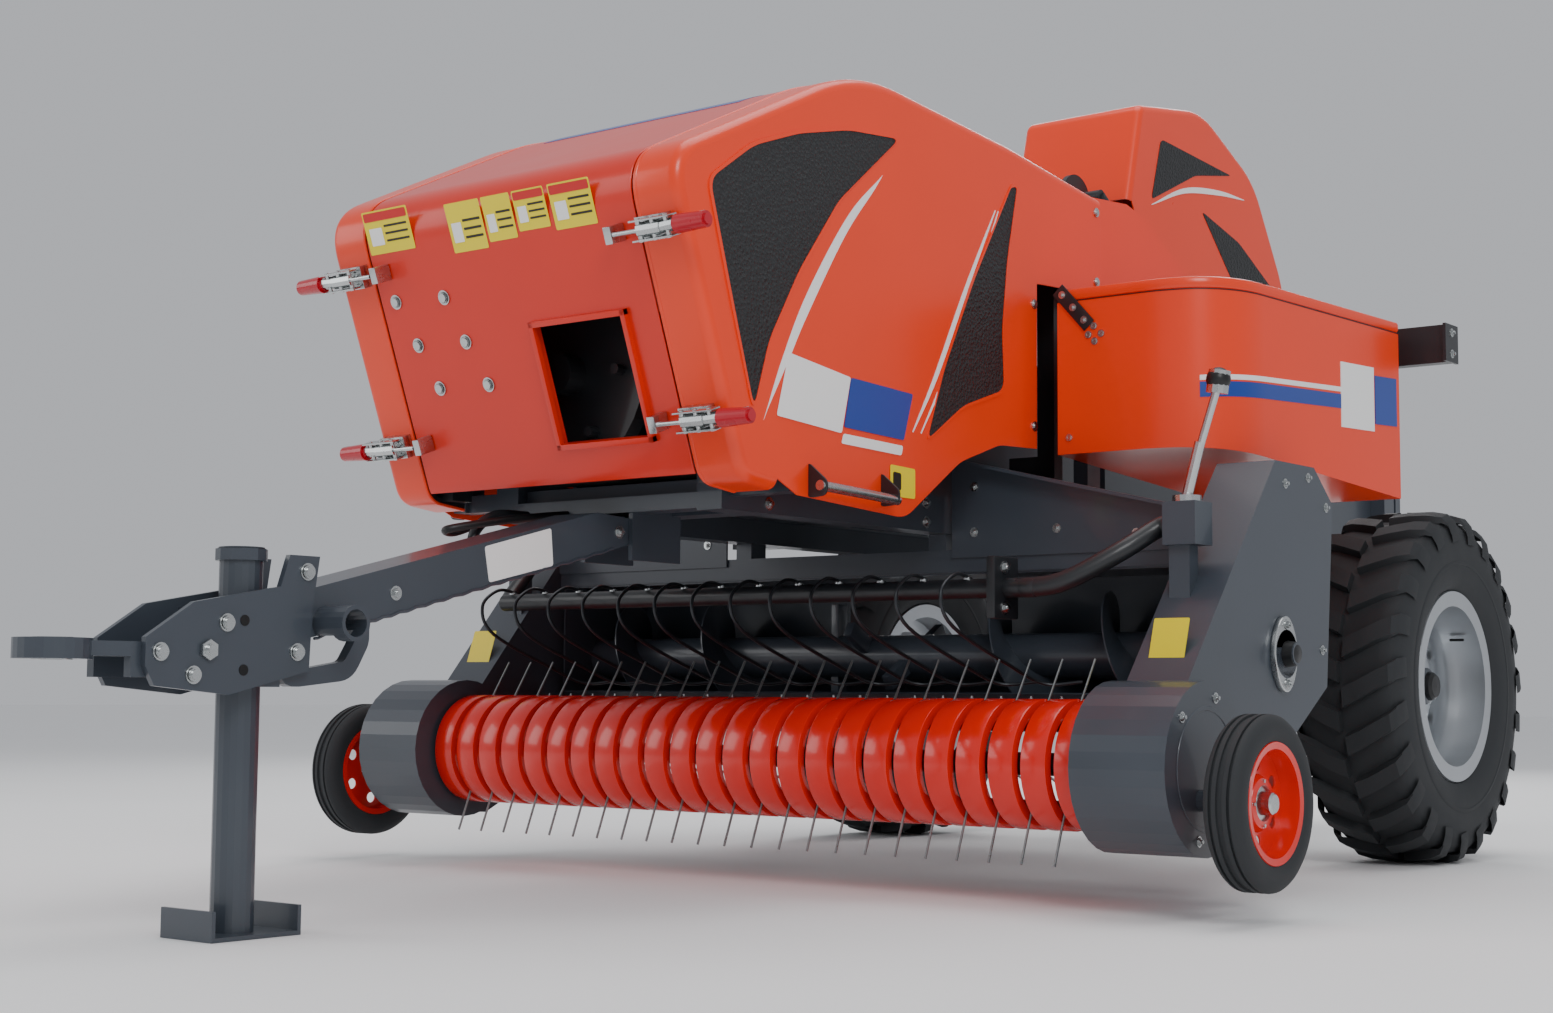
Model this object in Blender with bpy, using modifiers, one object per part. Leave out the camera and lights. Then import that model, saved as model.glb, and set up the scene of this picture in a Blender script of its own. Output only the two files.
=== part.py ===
"""Square baler: drawbar, hood, pickup, bale chamber, twine boxes, wheels.

Metres, +Z up. Inside the "baler" empty, X is the machine's left, Y points to its
tail and is 0 at the main axle, and Z is 0 on the ground. The empty moves all of it
so that the world origin is under the middle of the whole machine.
"""
import math

import bmesh
import bpy
from mathutils import Matrix, Vector

# Gaps
SEAT = 0.0003            # between pieces that rest on each other
RUN = 0.006              # between pieces that move past each other
# Reach ahead of and behind the axle
HITCH_REACH = 3.80
LAID_REACH = 3.80        # the reach the hitch, jack and drawbar's front are laid out at; they slide with HITCH_REACH
TAIL_REACH = 1.45
# Main wheels
WHEEL_R, WHEEL_W, WHEEL_X = 0.485, 0.30, 0.883
RIM_R, FLANGE_R, HUB_R = 0.2286, 0.262, 0.070
HUB_IN = 0.110           # hub's inner face, inboard of the wheel's centre
# Gauge wheels
GAUGE_R, GAUGE_W, GAUGE_X = 0.177, 0.085, 1.330
GAUGE_Y, GAUGE_Z, GAUGE_RIM_R = -1.867, 0.239, 0.115
# Pickup
PIVOT_Y, PIVOT_Z = -1.33, 0.547
CASE_IN, CASE_OUT, CAP_OUT, CAP_R = 0.980, 1.125, 1.200, 0.180
REEL_Y, REEL_Z = -1.817, 0.302
BANDS, BAND_FILL, BAND_R, BAND_T = 24, 0.77, 0.141, 0.005
TINE_TIP_R, TINE_R, BAR_R = 0.240, 0.003, 0.098
# Auger and its housing
AUGER_R, AUGER_SHAFT_R = 0.160, 0.055
HOUSING_HALF, HOUSING_T = 0.962, 0.006
# Windguard
GUARD_Y, GUARD_Z = -1.60, 0.825
GUARD_TUBE_Y, GUARD_TUBE_Z, GUARD_TUBE_R = -1.75, 0.690, 0.0225
GUARD_WIRES = 13
# Frame and chamber
RAIL_IN, RAIL_W, RAIL_H, RAIL_TOP = 0.270, 0.070, 0.090, 0.930
CHAMBER_HALF, CHAMBER_BOTTOM, CHAMBER_TOP, CHAMBER_T = 0.250, 0.900, 1.300, 0.012
CHAMBER_FRONT = -2.20
TONGUE_HALF = 0.065
# Jack
JACK_Y, JACK_R, JACK_TOP = -3.341, 0.040, 0.690
# Hood
HOOD_HALF, SEAM_X, SHEET = 0.520, 0.400, 0.004
HOOD_END = -1.075
FRONT_FOOT, FRONT_HEAD = (-2.508, 0.880), (-2.745, 1.512)   # the nose's corners, Y and Z
RAIL_FRONT = -2.36
FRAME_RING_T, FRAME_RING_W = 0.012, 0.080
# Knotter hood
KNOT_HALF, KNOT_LOW = 0.200, 1.480
KNOT_HINGE_Y = 0.72
# Twine boxes
BOX_IN, BOX_OUT, BOX_FRONT, BOX_REAR = 0.568, 1.050, -1.370, -0.456
BOX_TOP, BOX_LID_H, BOX_T = 1.404, 0.028, 0.005
BOX_LOW_FRONT, BOX_LOW_REAR = 1.030, 0.968
# Rear light bar
LIGHT_HALF, LIGHT_Y, LIGHT_LOW, LIGHT_HIGH = 1.154, -0.350, 1.330, 1.430

COLORS = {
    "orange": ((0.91, 0.10, 0.01), 0.35, 0.0), "red": ((0.85, 0.05, 0.01), 0.35, 0.0),
    "grey": ((0.045, 0.055, 0.070), 0.45, 0.0), "dark": ((0.02, 0.022, 0.025), 0.5, 0.0),
    "zinc": ((0.62, 0.62, 0.60), 0.3, 1.0), "silver": ((0.60, 0.61, 0.62), 0.35, 0.6),
    "tyre": ((0.025, 0.025, 0.027), 0.8, 0.0),
}

for old in list(bpy.data.objects):
    bpy.data.objects.remove(old, do_unlink=True)
scene = bpy.context.scene
PARTS = bpy.data.collections.new("square_baler")
HELPERS = bpy.data.collections.new("cutters")
scene.collection.children.link(PARTS)
scene.collection.children.link(HELPERS)


def empty(name, at, parent=None):
    """An empty at a point in baler coordinates."""
    obj = bpy.data.objects.new(name, None)
    obj.empty_display_size = 0.1
    PARTS.objects.link(obj)
    obj["at"] = tuple(at)
    obj.parent = parent
    start = Vector(parent["at"]) if parent else Vector()
    obj.location = Vector(at) - start
    return obj


ROOT = empty("baler", (0, 0, 0))
ROOT.location = (0, (HITCH_REACH - TAIL_REACH) / 2, 0)
HITCH = empty("hitch", (0, 0, 0), ROOT)
HITCH.location = (0, LAID_REACH - HITCH_REACH, 0)


def helper(mesh):
    obj = bpy.data.objects.new("piece", mesh)
    obj.hide_render = True
    obj.display_type = "WIRE"
    HELPERS.objects.link(obj)
    return obj


def finish(bm):
    bmesh.ops.remove_doubles(bm, verts=bm.verts, dist=1e-5)
    bmesh.ops.recalc_face_normals(bm, faces=bm.faces)
    mesh = bpy.data.meshes.new("piece")
    bm.to_mesh(mesh)
    bm.free()
    return helper(mesh)


def box(x, y, z):
    """A box between two values on each axis."""
    bm = bmesh.new()
    bmesh.ops.create_cube(bm, size=1.0)
    size = (x[1] - x[0], y[1] - y[0], z[1] - z[0])
    bmesh.ops.scale(bm, vec=size, verts=bm.verts)
    bmesh.ops.translate(bm, vec=[(a[0] + a[1]) / 2 for a in (x, y, z)], verts=bm.verts)
    return finish(bm)


def along(p, q):
    p, q = Vector(p), Vector(q)
    turn = (q - p).to_track_quat("Z", "Y").to_matrix().to_4x4()
    return Matrix.Translation((p + q) / 2) @ turn, (q - p).length


def rod(p, q, r, sides=16, r2=None):
    """A round bar, or a cone, from p to q."""
    place, length = along(p, q)
    bm = bmesh.new()
    bmesh.ops.create_cone(bm, cap_ends=True, segments=sides, radius1=r,
                          radius2=r if r2 is None else r2, depth=length)
    bmesh.ops.transform(bm, matrix=place, verts=bm.verts)
    return finish(bm)


def beam(p, q, width, height):
    """A square-ended bar from p to q: width along X, height across it."""
    p, q = Vector(p), Vector(q)
    z = (q - p).normalized()
    x = Vector((1, 0, 0)) if abs(z.x) < 0.9 else Vector((0, 1, 0))
    y = z.cross(x).normalized()
    x = y.cross(z)
    turn = Matrix((x, y, z)).transposed().to_4x4()
    bm = bmesh.new()
    bmesh.ops.create_cube(bm, size=1.0)
    bmesh.ops.scale(bm, vec=(width, height, (q - p).length), verts=bm.verts)
    bmesh.ops.transform(bm, matrix=Matrix.Translation((p + q) / 2) @ turn, verts=bm.verts)
    return finish(bm)


def from_object(obj):
    """The evaluated object's mesh as a helper, with its caps welded."""
    bpy.context.view_layer.update()
    graph = bpy.context.evaluated_depsgraph_get()
    mesh = bpy.data.meshes.new_from_object(obj.evaluated_get(graph))
    bm = bmesh.new()
    bm.from_mesh(mesh)
    bmesh.ops.transform(bm, matrix=obj.matrix_world, verts=bm.verts)
    bpy.data.objects.remove(obj, do_unlink=True)
    return finish(bm)


AXES = {
    "X": Matrix(((0, 0, 1, 0), (1, 0, 0, 0), (0, 1, 0, 0), (0, 0, 0, 1))),
    "Y": Matrix(((1, 0, 0, 0), (0, 0, -1, 0), (0, 1, 0, 0), (0, 0, 0, 1))),
    "Z": Matrix.Identity(4),
}


def plate(outline, axis, low, high):
    """A flat outline, given in the other two axes, filled between low and high."""
    curve = bpy.data.curves.new("outline", "CURVE")
    curve.dimensions, curve.fill_mode = "2D", "BOTH"
    curve.extrude = (high - low) / 2
    spline = curve.splines.new("POLY")
    spline.points.add(len(outline) - 1)
    for point, (u, v) in zip(spline.points, outline):
        point.co = (u, v, 0, 1)
    spline.use_cyclic_u = True
    obj = bpy.data.objects.new("outline", curve)
    HELPERS.objects.link(obj)
    shift = {"X": (1, 0, 0), "Y": (0, 1, 0), "Z": (0, 0, 1)}[axis]
    obj.matrix_world = Matrix.Translation(Vector(shift) * (low + high) / 2) @ AXES[axis]
    return from_object(obj)


def tube(points, r, fine=1):
    """A round wire or tube through points."""
    curve = bpy.data.curves.new("path", "CURVE")
    curve.dimensions = "3D"
    curve.bevel_depth, curve.bevel_resolution, curve.use_fill_caps = r, fine, True
    spline = curve.splines.new("POLY")
    spline.points.add(len(points) - 1)
    for point, place in zip(spline.points, points):
        point.co = (*place, 1)
    obj = bpy.data.objects.new("path", curve)
    HELPERS.objects.link(obj)
    return from_object(obj)


def turned(profile, centre, side=1, steps=24):
    """A closed (x, radius) profile turned about X; side -1 mirrors it in X."""
    mesh = bpy.data.meshes.new("profile")
    edges = [(i, (i + 1) % len(profile)) for i in range(len(profile))]
    edges = [e for e in edges if profile[e[0]][1] > 0 or profile[e[1]][1] > 0]
    mesh.from_pydata([(r, 0, side * x) for x, r in profile], edges, [])
    obj = bpy.data.objects.new("profile", mesh)
    HELPERS.objects.link(obj)
    screw = obj.modifiers.new("Screw", "SCREW")
    screw.steps = screw.render_steps = steps
    screw.use_merge_vertices, screw.merge_threshold = True, 1e-5
    obj.matrix_world = Matrix.Translation(centre) @ AXES["X"]
    return from_object(obj)


def rounded(points, radii, steps=5):
    """An open polyline with its inner corners turned into arcs."""
    out = [Vector(points[0])]
    for i in range(1, len(points) - 1):
        a, b, c = (Vector(points[j]) for j in (i - 1, i, i + 1))
        u, v = (a - b).normalized(), (c - b).normalized()
        half = u.angle(v) / 2
        cut = min(radii[i - 1] / math.tan(half), (a - b).length * 0.48, (c - b).length * 0.48)
        p, q = b + u * cut, b + v * cut
        for k in range(steps + 1):
            t = k / steps
            out.append(p * (1 - t) ** 2 + b * 2 * t * (1 - t) + q * t ** 2)
    return [tuple(p) for p in out + [Vector(points[-1])]]


def offset(line, by):
    """The polyline moved to its right by a distance."""
    out = []
    for i, point in enumerate(line):
        a, b = Vector(line[max(i - 1, 0)]), Vector(line[min(i + 1, len(line) - 1)])
        d = (b - a).normalized()
        out.append((point[0] + d.y * by, point[1] - d.x * by))
    return out


def ribbon(line, near, far):
    """The strip between two offsets of an open polyline, as an outline."""
    return offset(line, near) + offset(line, far)[::-1]


def joined(pieces, cuts=()):
    """Pieces united, then cut, as one mesh."""
    base = pieces[0]
    groups = (("UNION", pieces[1:]), ("DIFFERENCE", list(cuts)))
    used = []
    for operation, others in groups:
        if others:
            group = bpy.data.collections.new(operation)
            for other in others:
                group.objects.link(other)
            step = base.modifiers.new(operation, "BOOLEAN")
            step.operation, step.operand_type = operation, "COLLECTION"
            step.collection, step.solver = group, "EXACT"
            used += [group] + others
    bpy.context.view_layer.update()
    graph = bpy.context.evaluated_depsgraph_get()
    mesh = bpy.data.meshes.new_from_object(base.evaluated_get(graph))
    for item in used:
        if isinstance(item, bpy.types.Collection):
            bpy.data.collections.remove(item)
        else:
            bpy.data.objects.remove(item, do_unlink=True)
    bpy.data.objects.remove(base, do_unlink=True)
    return mesh


def node(name, color, pieces, cuts=(), parent=None):
    """A named part whose origin is its parent empty."""
    parent = parent or ROOT
    mesh = joined(pieces, cuts)
    mesh.transform(Matrix.Translation(-Vector(parent["at"])))
    mesh.name = name
    rgb, rough, metal = COLORS[color]
    material = bpy.data.materials.new(name)
    material.use_nodes = True
    shader = material.node_tree.nodes["Principled BSDF"]
    shader.inputs["Base Color"].default_value = (*rgb, 1)
    shader.inputs["Roughness"].default_value = rough
    shader.inputs["Metallic"].default_value = metal
    mesh.materials.clear()
    mesh.materials.append(material)
    mesh.shade_smooth()
    mesh.set_sharp_from_angle(angle=math.radians(35))
    obj = bpy.data.objects.new(name, mesh)
    obj.parent = parent
    PARTS.objects.link(obj)
    return obj


def span(side, a, b):
    """An X interval on one side, low value first."""
    return tuple(sorted((side * a, side * b)))


def word(side):
    return "left" if side > 0 else "right"


# ---- Main wheels ----
def tyre_profile(r, w, seat_r, bead, flange_r):
    half = [(bead, seat_r), (bead, flange_r + 0.004), (w * 0.475, flange_r + 0.033),
            (w * 0.5, flange_r + 0.4 * (r - flange_r)), (w * 0.49, flange_r + 0.72 * (r - flange_r)),
            (w * 0.44, r - 0.022), (w * 0.30, r - 0.004)]
    return half + [(0, r)] + [(-x, y) for x, y in reversed(half)]


def rim_profile(w, flange_r, r, hub_out, hub_in, hub_r):
    b = w / 2 + 0.0003
    return [(hub_out, 0), (hub_out, hub_r * 0.7), (0.02, hub_r), (0.0, hub_r * 1.1), (0.0, 0.55 * r),
            (-0.03, 0.85 * r), (-0.02, r - 0.008), (b + 0.010, r - 0.008), (b + 0.012, flange_r),
            (b, flange_r), (b, r), (-b, r), (-b, flange_r), (-b - 0.012, flange_r),
            (-b - 0.010, r - 0.008), (-0.05, r - 0.008), (-0.045, 0.85 * r), (-0.015, 0.55 * r),
            (-0.015, hub_r * 1.1), (hub_in, hub_r), (hub_in, 0)]


def main_wheel(side):
    at = (side * WHEEL_X, 0, WHEEL_R)
    axis = empty("axis_wheel_" + word(side), at, ROOT)
    bead = WHEEL_W * 0.385
    profile = tyre_profile(WHEEL_R, WHEEL_W, RIM_R + SEAT, bead, FLANGE_R)
    node("tyre_" + word(side), "tyre", [turned(profile, at, side)], parent=axis)
    rim = rim_profile(2 * bead, FLANGE_R, RIM_R, 0.075, -HUB_IN, HUB_R)
    node("rim_" + word(side), "silver", [turned(rim, at, side)], parent=axis)


# ---- Frame ----
def main_frame():
    low = RAIL_TOP - RAIL_H
    mid = RAIL_IN + RAIL_W / 2
    pieces = []
    for s in (1, -1):
        pieces += [box(span(s, RAIL_IN, RAIL_IN + RAIL_W), (RAIL_FRONT, 0.62), (low, RAIL_TOP)),
                   box(span(s, mid - 0.03, mid + 0.03), (-0.08, 0.08), (WHEEL_R + 0.05 + SEAT, low + 0.01)),
                   box(span(s, TONGUE_HALF + SEAT, TONGUE_HALF + 0.012), (-2.35, -2.19), (0.74, low + 0.02))]
        for y in (-1.20, -0.62):
            pieces += [box(span(s, RAIL_IN + 0.02, BOX_IN - SEAT), (y - 0.03, y + 0.03), (low + 0.01, low + 0.07)),
                       box(span(s, BOX_IN - 0.04, BOX_IN - SEAT), (y - 0.03, y + 0.03), (low + 0.01, 1.36))]
        pieces.append(box(span(s, HOOD_HALF - 0.055, HOOD_HALF - 0.015), (-2.34, -2.28), (low + 0.03, 1.0)))
    for y0, y1 in ((RAIL_FRONT, -2.29), (-2.22, -2.14), (-0.05, 0.03), (0.54, 0.62)):
        pieces.append(box((-mid, mid), (y0, y1), (low + 0.005, CHAMBER_BOTTOM - 0.02)))
    pieces.append(box((-HOOD_HALF + 0.02, HOOD_HALF - 0.02), (-2.33, -2.29), (low + 0.03, low + 0.07)))
    node("main_frame", "grey", pieces)


def axle():
    end = WHEEL_X - HUB_IN - SEAT
    pieces = [box((-0.66, 0.66), (-0.05, 0.05), (WHEEL_R - 0.05, WHEEL_R + 0.05))]
    for s in (1, -1):
        pieces.append(rod((s * 0.62, 0, WHEEL_R), (s * end, 0, WHEEL_R), 0.045, 20))
    node("axle_beam", "grey", pieces)


def chamber():
    hw, t = CHAMBER_HALF, CHAMBER_T
    floor = CHAMBER_BOTTOM
    ribs = []
    for y in (-2.18, -1.30, -0.60, 0.20, 0.80, TAIL_REACH - 0.04):
        ribs.append(box((-hw - 0.015, hw + 0.015), (y - 0.02, y + 0.02), (floor + 0.04, CHAMBER_TOP - 0.04)))
    inner = box((-hw + t, hw - t), (CHAMBER_FRONT - 0.1, TAIL_REACH + 0.1), (floor + t, CHAMBER_TOP - t))
    feed = box((-0.20, 0.20), (-1.18, -0.82), (floor - 0.1, floor + 0.05))
    slots = [box((x - 0.02, x + 0.02), (-0.22, 0.15), (CHAMBER_TOP - 0.05, CHAMBER_TOP + 0.1)) for x in (-0.1, 0.1)]
    shell = box((-hw, hw), (CHAMBER_FRONT, TAIL_REACH), (floor, CHAMBER_TOP))
    node("bale_chamber", "grey", [shell] + ribs, [inner, feed] + slots)


def plunger():
    inside = CHAMBER_HALF - CHAMBER_T
    axis = empty("axis_plunger", (0, -1.95, CHAMBER_BOTTOM + CHAMBER_T), ROOT)
    floor = CHAMBER_BOTTOM + CHAMBER_T + SEAT
    head = box((-inside + RUN, inside - RUN), (-1.98, -1.90), (floor, CHAMBER_TOP - CHAMBER_T - RUN))
    tail = box((-0.12, 0.12), (-2.12, -1.97), (floor + 0.06, floor + 0.28))
    node("plunger", "dark", [head, tail], parent=axis)


def tension_hoop():
    g = CHAMBER_HALF + SEAT
    y = (TAIL_REACH - 0.24, TAIL_REACH - 0.16)
    low, high = CHAMBER_BOTTOM - SEAT, CHAMBER_TOP + SEAT
    bars = [box((-g - 0.05, g + 0.05), y, (high, high + 0.05)), box((-g - 0.05, g + 0.05), y, (low - 0.05, low))]
    for s in (1, -1):
        bars += [box(span(s, g, g + 0.05), y, (low - 0.02, high + 0.02)),
                 rod((s * (g + 0.02), y[0] - 0.01, high + 0.09), (s * (g + 0.02), y[1] + 0.01, high + 0.09), 0.03, 12),
                 box(span(s, g + 0.005, g + 0.035), (y[0] + 0.02, y[1] - 0.02), (high, high + 0.08))]
    node("tension_hoop", "grey", bars)


# ---- Drawbar, hitch and jack ----
def drawbar():
    t = TONGUE_HALF
    e = LAID_REACH - HITCH_REACH
    outline = [(-3.300 + e, 0.524), (-2.306, 0.785), (-2.20, 0.785), (-2.20, 0.83 - SEAT), (-2.30, 0.83 - SEAT),
               (-2.45, 0.838), (-3.300 + e, 0.622)]
    loop = rounded([(-3.28, 0.56), (-3.30, 0.45), (-3.12, 0.47), (-3.08, 0.54), (-3.08, 0.60)], [0.05, 0.06, 0.05])
    hole = rounded([(-3.19, 0.555), (-3.262, 0.54), (-3.262, 0.485), (-3.14, 0.505), (-3.115, 0.545),
                    (-3.12, 0.575), (-3.19, 0.555)], [0.02, 0.02, 0.02, 0.02, 0.01], 3)[1:-1]
    loop, hole = [(u + e, v) for u, v in loop], [(u + e, v) for u, v in hole]
    stub = [rod((0, -3.19 + e, 0.575), (t + 0.085, -3.19 + e, 0.575), 0.034, 20)]
    bore = rod((t + 0.010, -3.19 + e, 0.575), (t + 0.2, -3.19 + e, 0.575), 0.026, 20)
    node("drawbar", "grey", [plate(outline, "X", -t, t), plate(loop, "X", t - 0.03, t - 0.005)] + stub,
         [bore, plate(hole, "X", 0.0, t + 0.05)])


def hitch_head():
    """Two cheek plates, tied by a collar round the jack leg."""
    cheek = [(-3.60, 0.49), (-3.58, 0.455), (-3.42, 0.44), (-3.24, 0.485), (-3.235, 0.60), (-3.22, 0.70),
             (-3.29, 0.70), (-3.31, 0.64), (-3.50, 0.605), (-3.60, 0.54)]
    near, far = TONGUE_HALF + SEAT, TONGUE_HALF + 0.013
    pieces = [plate(cheek, "X", *span(s, near, far)) for s in (1, -1)]
    pieces.append(box((-near - 0.004, near + 0.004), (JACK_Y - 0.05, -3.3003), (0.455, 0.53)))
    pieces.append(box((-near - 0.004, near + 0.004), (-3.43, -3.41), (0.50, 0.60)))
    bore = rod((0, JACK_Y, 0.3), (0, JACK_Y, 0.9), (JACK_R + 0.0005), 20)
    relief = box((-0.2, 0.2), (-3.3003, -3.2), (0.42, 0.44))
    node("hitch_head", "grey", pieces, [bore, relief], parent=HITCH)


def hitch_eye():
    """The tongue plate with its ring, between the cheeks."""
    w = TONGUE_HALF - SEAT
    ring_r = LAID_REACH - 3.733
    tongue = [(-0.04, -3.74), (0.04, -3.74), (w, -3.62), (w, -3.45), (-w, -3.45), (-w, -3.62)]
    pieces = [plate(tongue, "Z", 0.506, 0.532), rod((0, -3.733, 0.500), (0, -3.733, 0.536), ring_r, 24),
              box((-w, -w + 0.02), (-3.62, -3.45), (0.47, 0.53)), box((w - 0.02, w), (-3.62, -3.45), (0.47, 0.53))]
    node("hitch_eye", "grey", pieces, [rod((0, -3.733, 0.4), (0, -3.733, 0.6), 0.022, 20)], parent=HITCH)


def jack():
    axis = empty("axis_jack", (0, JACK_Y, 0), HITCH)
    foot = [(-0.10, 0.055), (-0.10, 0.0), (0.10, 0.0), (0.10, 0.055), (0.092, 0.055), (0.092, 0.008),
            (-0.092, 0.008), (-0.092, 0.055)]
    foot = [(JACK_Y + u, v) for u, v in foot]
    node("jack_leg", "grey", [plate(foot, "X", -0.075, 0.075), rod((0, JACK_Y, 0.004), (0, JACK_Y, JACK_TOP), JACK_R, 20),
                              rod((0, JACK_Y, 0.688), (0, JACK_Y, 0.71), 0.048, 12)], parent=axis)


# ---- Hood ----
def hood_line():
    """The hood's outer line in Y and Z, from under its nose to its rear end."""
    points = [(-2.40, 0.868), FRONT_FOOT, FRONT_HEAD, (-2.12, 1.818), (-1.50, 1.772), (HOOD_END, 1.722)]
    return rounded(points, [0.06, 0.11, 0.60, 1.2], 5)


def side_outline():
    line = hood_line()
    arch = rounded([(-2.33, 0.862), (-1.94, 0.840), (-1.72, 0.985), (-1.553, 1.040), (-1.387, 1.046)],
                   [0.10, 0.20, 0.15], 4)
    notch = [(-1.385, 1.452), (HOOD_END, 1.470)]
    return line, arch[::-1], notch


def lid_line(line):
    """The hood's line from the foot of the nose back: the lip under it stays with the side covers."""
    return [p for k, p in enumerate(line) if k > 5 or p[0] < FRONT_FOOT[0] - 0.004]


def hood():
    line = hood_line()
    seam = RUN / 2
    lid_axis = empty("axis_hood_lid", (0, line[-1][0], line[-1][1] - SHEET), ROOT)
    lid = plate(ribbon(lid_line(line), 0, SHEET), "X", -SEAM_X + seam, SEAM_X - seam)
    sill = box((0.04, 0.32), (-2.76, -2.56), (0.965, 1.235))
    window = box((0.055, 0.305), (-2.85, -2.45), (0.98, 1.22))
    keep = plate(ribbon(line, -0.012, SHEET + 0.001), "X", 0.03, 0.33)
    frame_piece = helper(joined([sill]))
    trim = frame_piece.modifiers.new("keep", "BOOLEAN")
    trim.operation, trim.object, trim.solver = "INTERSECT", keep, "EXACT"
    frame_piece = from_object(frame_piece)
    bpy.data.objects.remove(keep, do_unlink=True)
    node("hood_lid", "red", [lid, frame_piece], [window], parent=lid_axis)
    ring = ribbon(line, SHEET + SEAT, SHEET + SEAT + FRAME_RING_T)
    shelf = ribbon([p for p in line if p[0] > FRONT_HEAD[0] + 0.12 and p[1] > FRONT_HEAD[1]],
                   SHEET + SEAT, SHEET + SEAT + 0.9 * FRAME_RING_T)
    half = FRAME_RING_W / 2
    pieces = [plate(ring, "X", *span(s, SEAM_X + RUN, SEAM_X + half)) for s in (1, -1)]
    pieces += [plate(shelf, "X", *span(s, SEAM_X - half, SEAM_X + RUN + 0.01)) for s in (1, -1)]
    top = line[-1][1] - SHEET - SEAT
    for s in (1, -1):
        pieces += [box(span(s, 0.365, 0.415), (HOOD_END - 0.06, HOOD_END - 0.02), (RAIL_TOP + 0.10, top - 0.008)),
                   box(span(s, RAIL_IN + 0.01, 0.415), (HOOD_END - 0.06, HOOD_END - 0.02), (RAIL_TOP + SEAT, RAIL_TOP + 0.13)),
                   box(span(s, 0.37, 0.43), (-2.47, -2.41), (0.885, 1.45)),
                   box(span(s, RAIL_IN + 0.01, 0.43), (-2.47, -2.30), (RAIL_TOP + SEAT, RAIL_TOP + 0.04)),
                   box(span(s, 0.38, HOOD_HALF - 0.05 - SEAT), (HOOD_END - 0.05, HOOD_END - 0.03), (1.48, 1.52))]
    pieces.append(box((-0.40, 0.40), (HOOD_END - 0.06, HOOD_END - 0.02), (top - 0.05, top - 0.008)))
    pieces.append(box((-0.40, 0.40), (-1.90, -1.86), (1.70, 1.745)))
    for s in (1, -1):
        pieces.append(box(span(s, 0.37, 0.40), (-1.90, -1.86), (1.70, 1.79)))
    node("hood_frame", "dark", pieces)
    for s in (1, -1):
        side_cover(s, line)
        middle_panel(s)


def side_cover(s, line):
    """Panel, the strip that wraps round its edge, and the lift handle."""
    axis = empty("axis_hood_side_" + word(s), (s * (SEAM_X + RUN / 2), -1.9, 1.812), ROOT)
    outer, arch, notch = side_outline()
    outline = outer + notch[::-1] + arch
    panel = plate(outline, "X", *span(s, HOOD_HALF - SHEET, HOOD_HALF))
    strip = plate(ribbon(line, 0, SHEET), "X", *span(s, SEAM_X + RUN / 2, HOOD_HALF - 0.001))
    grip = [rod((s * (HOOD_HALF + 0.035), -2.30, 0.882), (s * (HOOD_HALF + 0.035), -2.02, 0.872), 0.013, 10)]
    for y in (-2.29, -2.03):
        grip.append(box(span(s, HOOD_HALF - 0.003, HOOD_HALF + 0.045), (y - 0.006, y + 0.006), (0.862, 0.905)))
    node("hood_side_" + word(s), "orange", [panel, strip] + grip, parent=axis)
    clamps(s, axis)


def clamps(s, axis):
    """Two toggle clamps on the front strip of a side cover."""
    foot, head = Vector((0, *FRONT_FOOT)), Vector((0, *FRONT_HEAD))
    up = (head - foot).normalized()
    lean = Vector((0, -up.z, up.y))
    for level, z in (("upper", 1.376), ("lower", 1.008)):
        base = foot + up * ((z - foot.z) / up.z) + lean * (SEAT + 0.012)
        p = base + Vector((s * (SEAM_X + 0.012), 0, 0))
        q = base + Vector((s * (HOOD_HALF - 0.03), 0, 0))
        plate_piece = beam(p, q, 0.024, 0.05)
        plate_piece = helper(joined([plate_piece]))
        tilt = Matrix.Rotation(math.atan2(-up.y, up.z), 4, "X")
        turn = Matrix.Translation(base) @ tilt @ Matrix.Translation(-base)
        plate_piece.data.transform(turn)
        arm = base + lean * 0.022
        body = rod(arm + Vector((s * 0.43, 0, 0)), arm + Vector((s * 0.49, 0, 0)), 0.016, 10)
        grip = rod(arm + Vector((s * 0.48, 0, 0)), arm + Vector((s * 0.60, 0, 0)) + up * 0.004, 0.014, 10)
        node("clamp_" + level + "_" + word(s), "zinc", [plate_piece, body, grip], parent=axis)


def middle_panel(s):
    """Fixed panel between the hood and the knotter hood."""
    x = HOOD_HALF - 0.05
    front = HOOD_END + RUN
    outline = [(front, 1.46), (-0.50, 1.46), (-0.50, 1.60), (-0.78, 1.735), (-0.86, 1.752), (front, 1.735)]
    panel = plate(outline, "X", *span(s, x, x + SHEET))
    foot = box(span(s, x + 0.001, BOX_IN - 0.012), (-0.645, -0.595), (1.462, 1.475))
    post = box(span(s, x + 0.001, x + 0.028), (-0.645, -0.595), (1.36 + SEAT, 1.47))
    rib = box(span(s, x - 0.02, x + 0.001), (HOOD_END + 0.02, -0.55), (1.47, 1.49))
    carrier = box(span(s, x + 0.001, BOX_IN - SEAT), (-0.645, -0.595), (1.36 + SEAT, 1.38))
    node("middle_panel_" + word(s), "orange", [panel, foot, post, rib, carrier])


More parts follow.
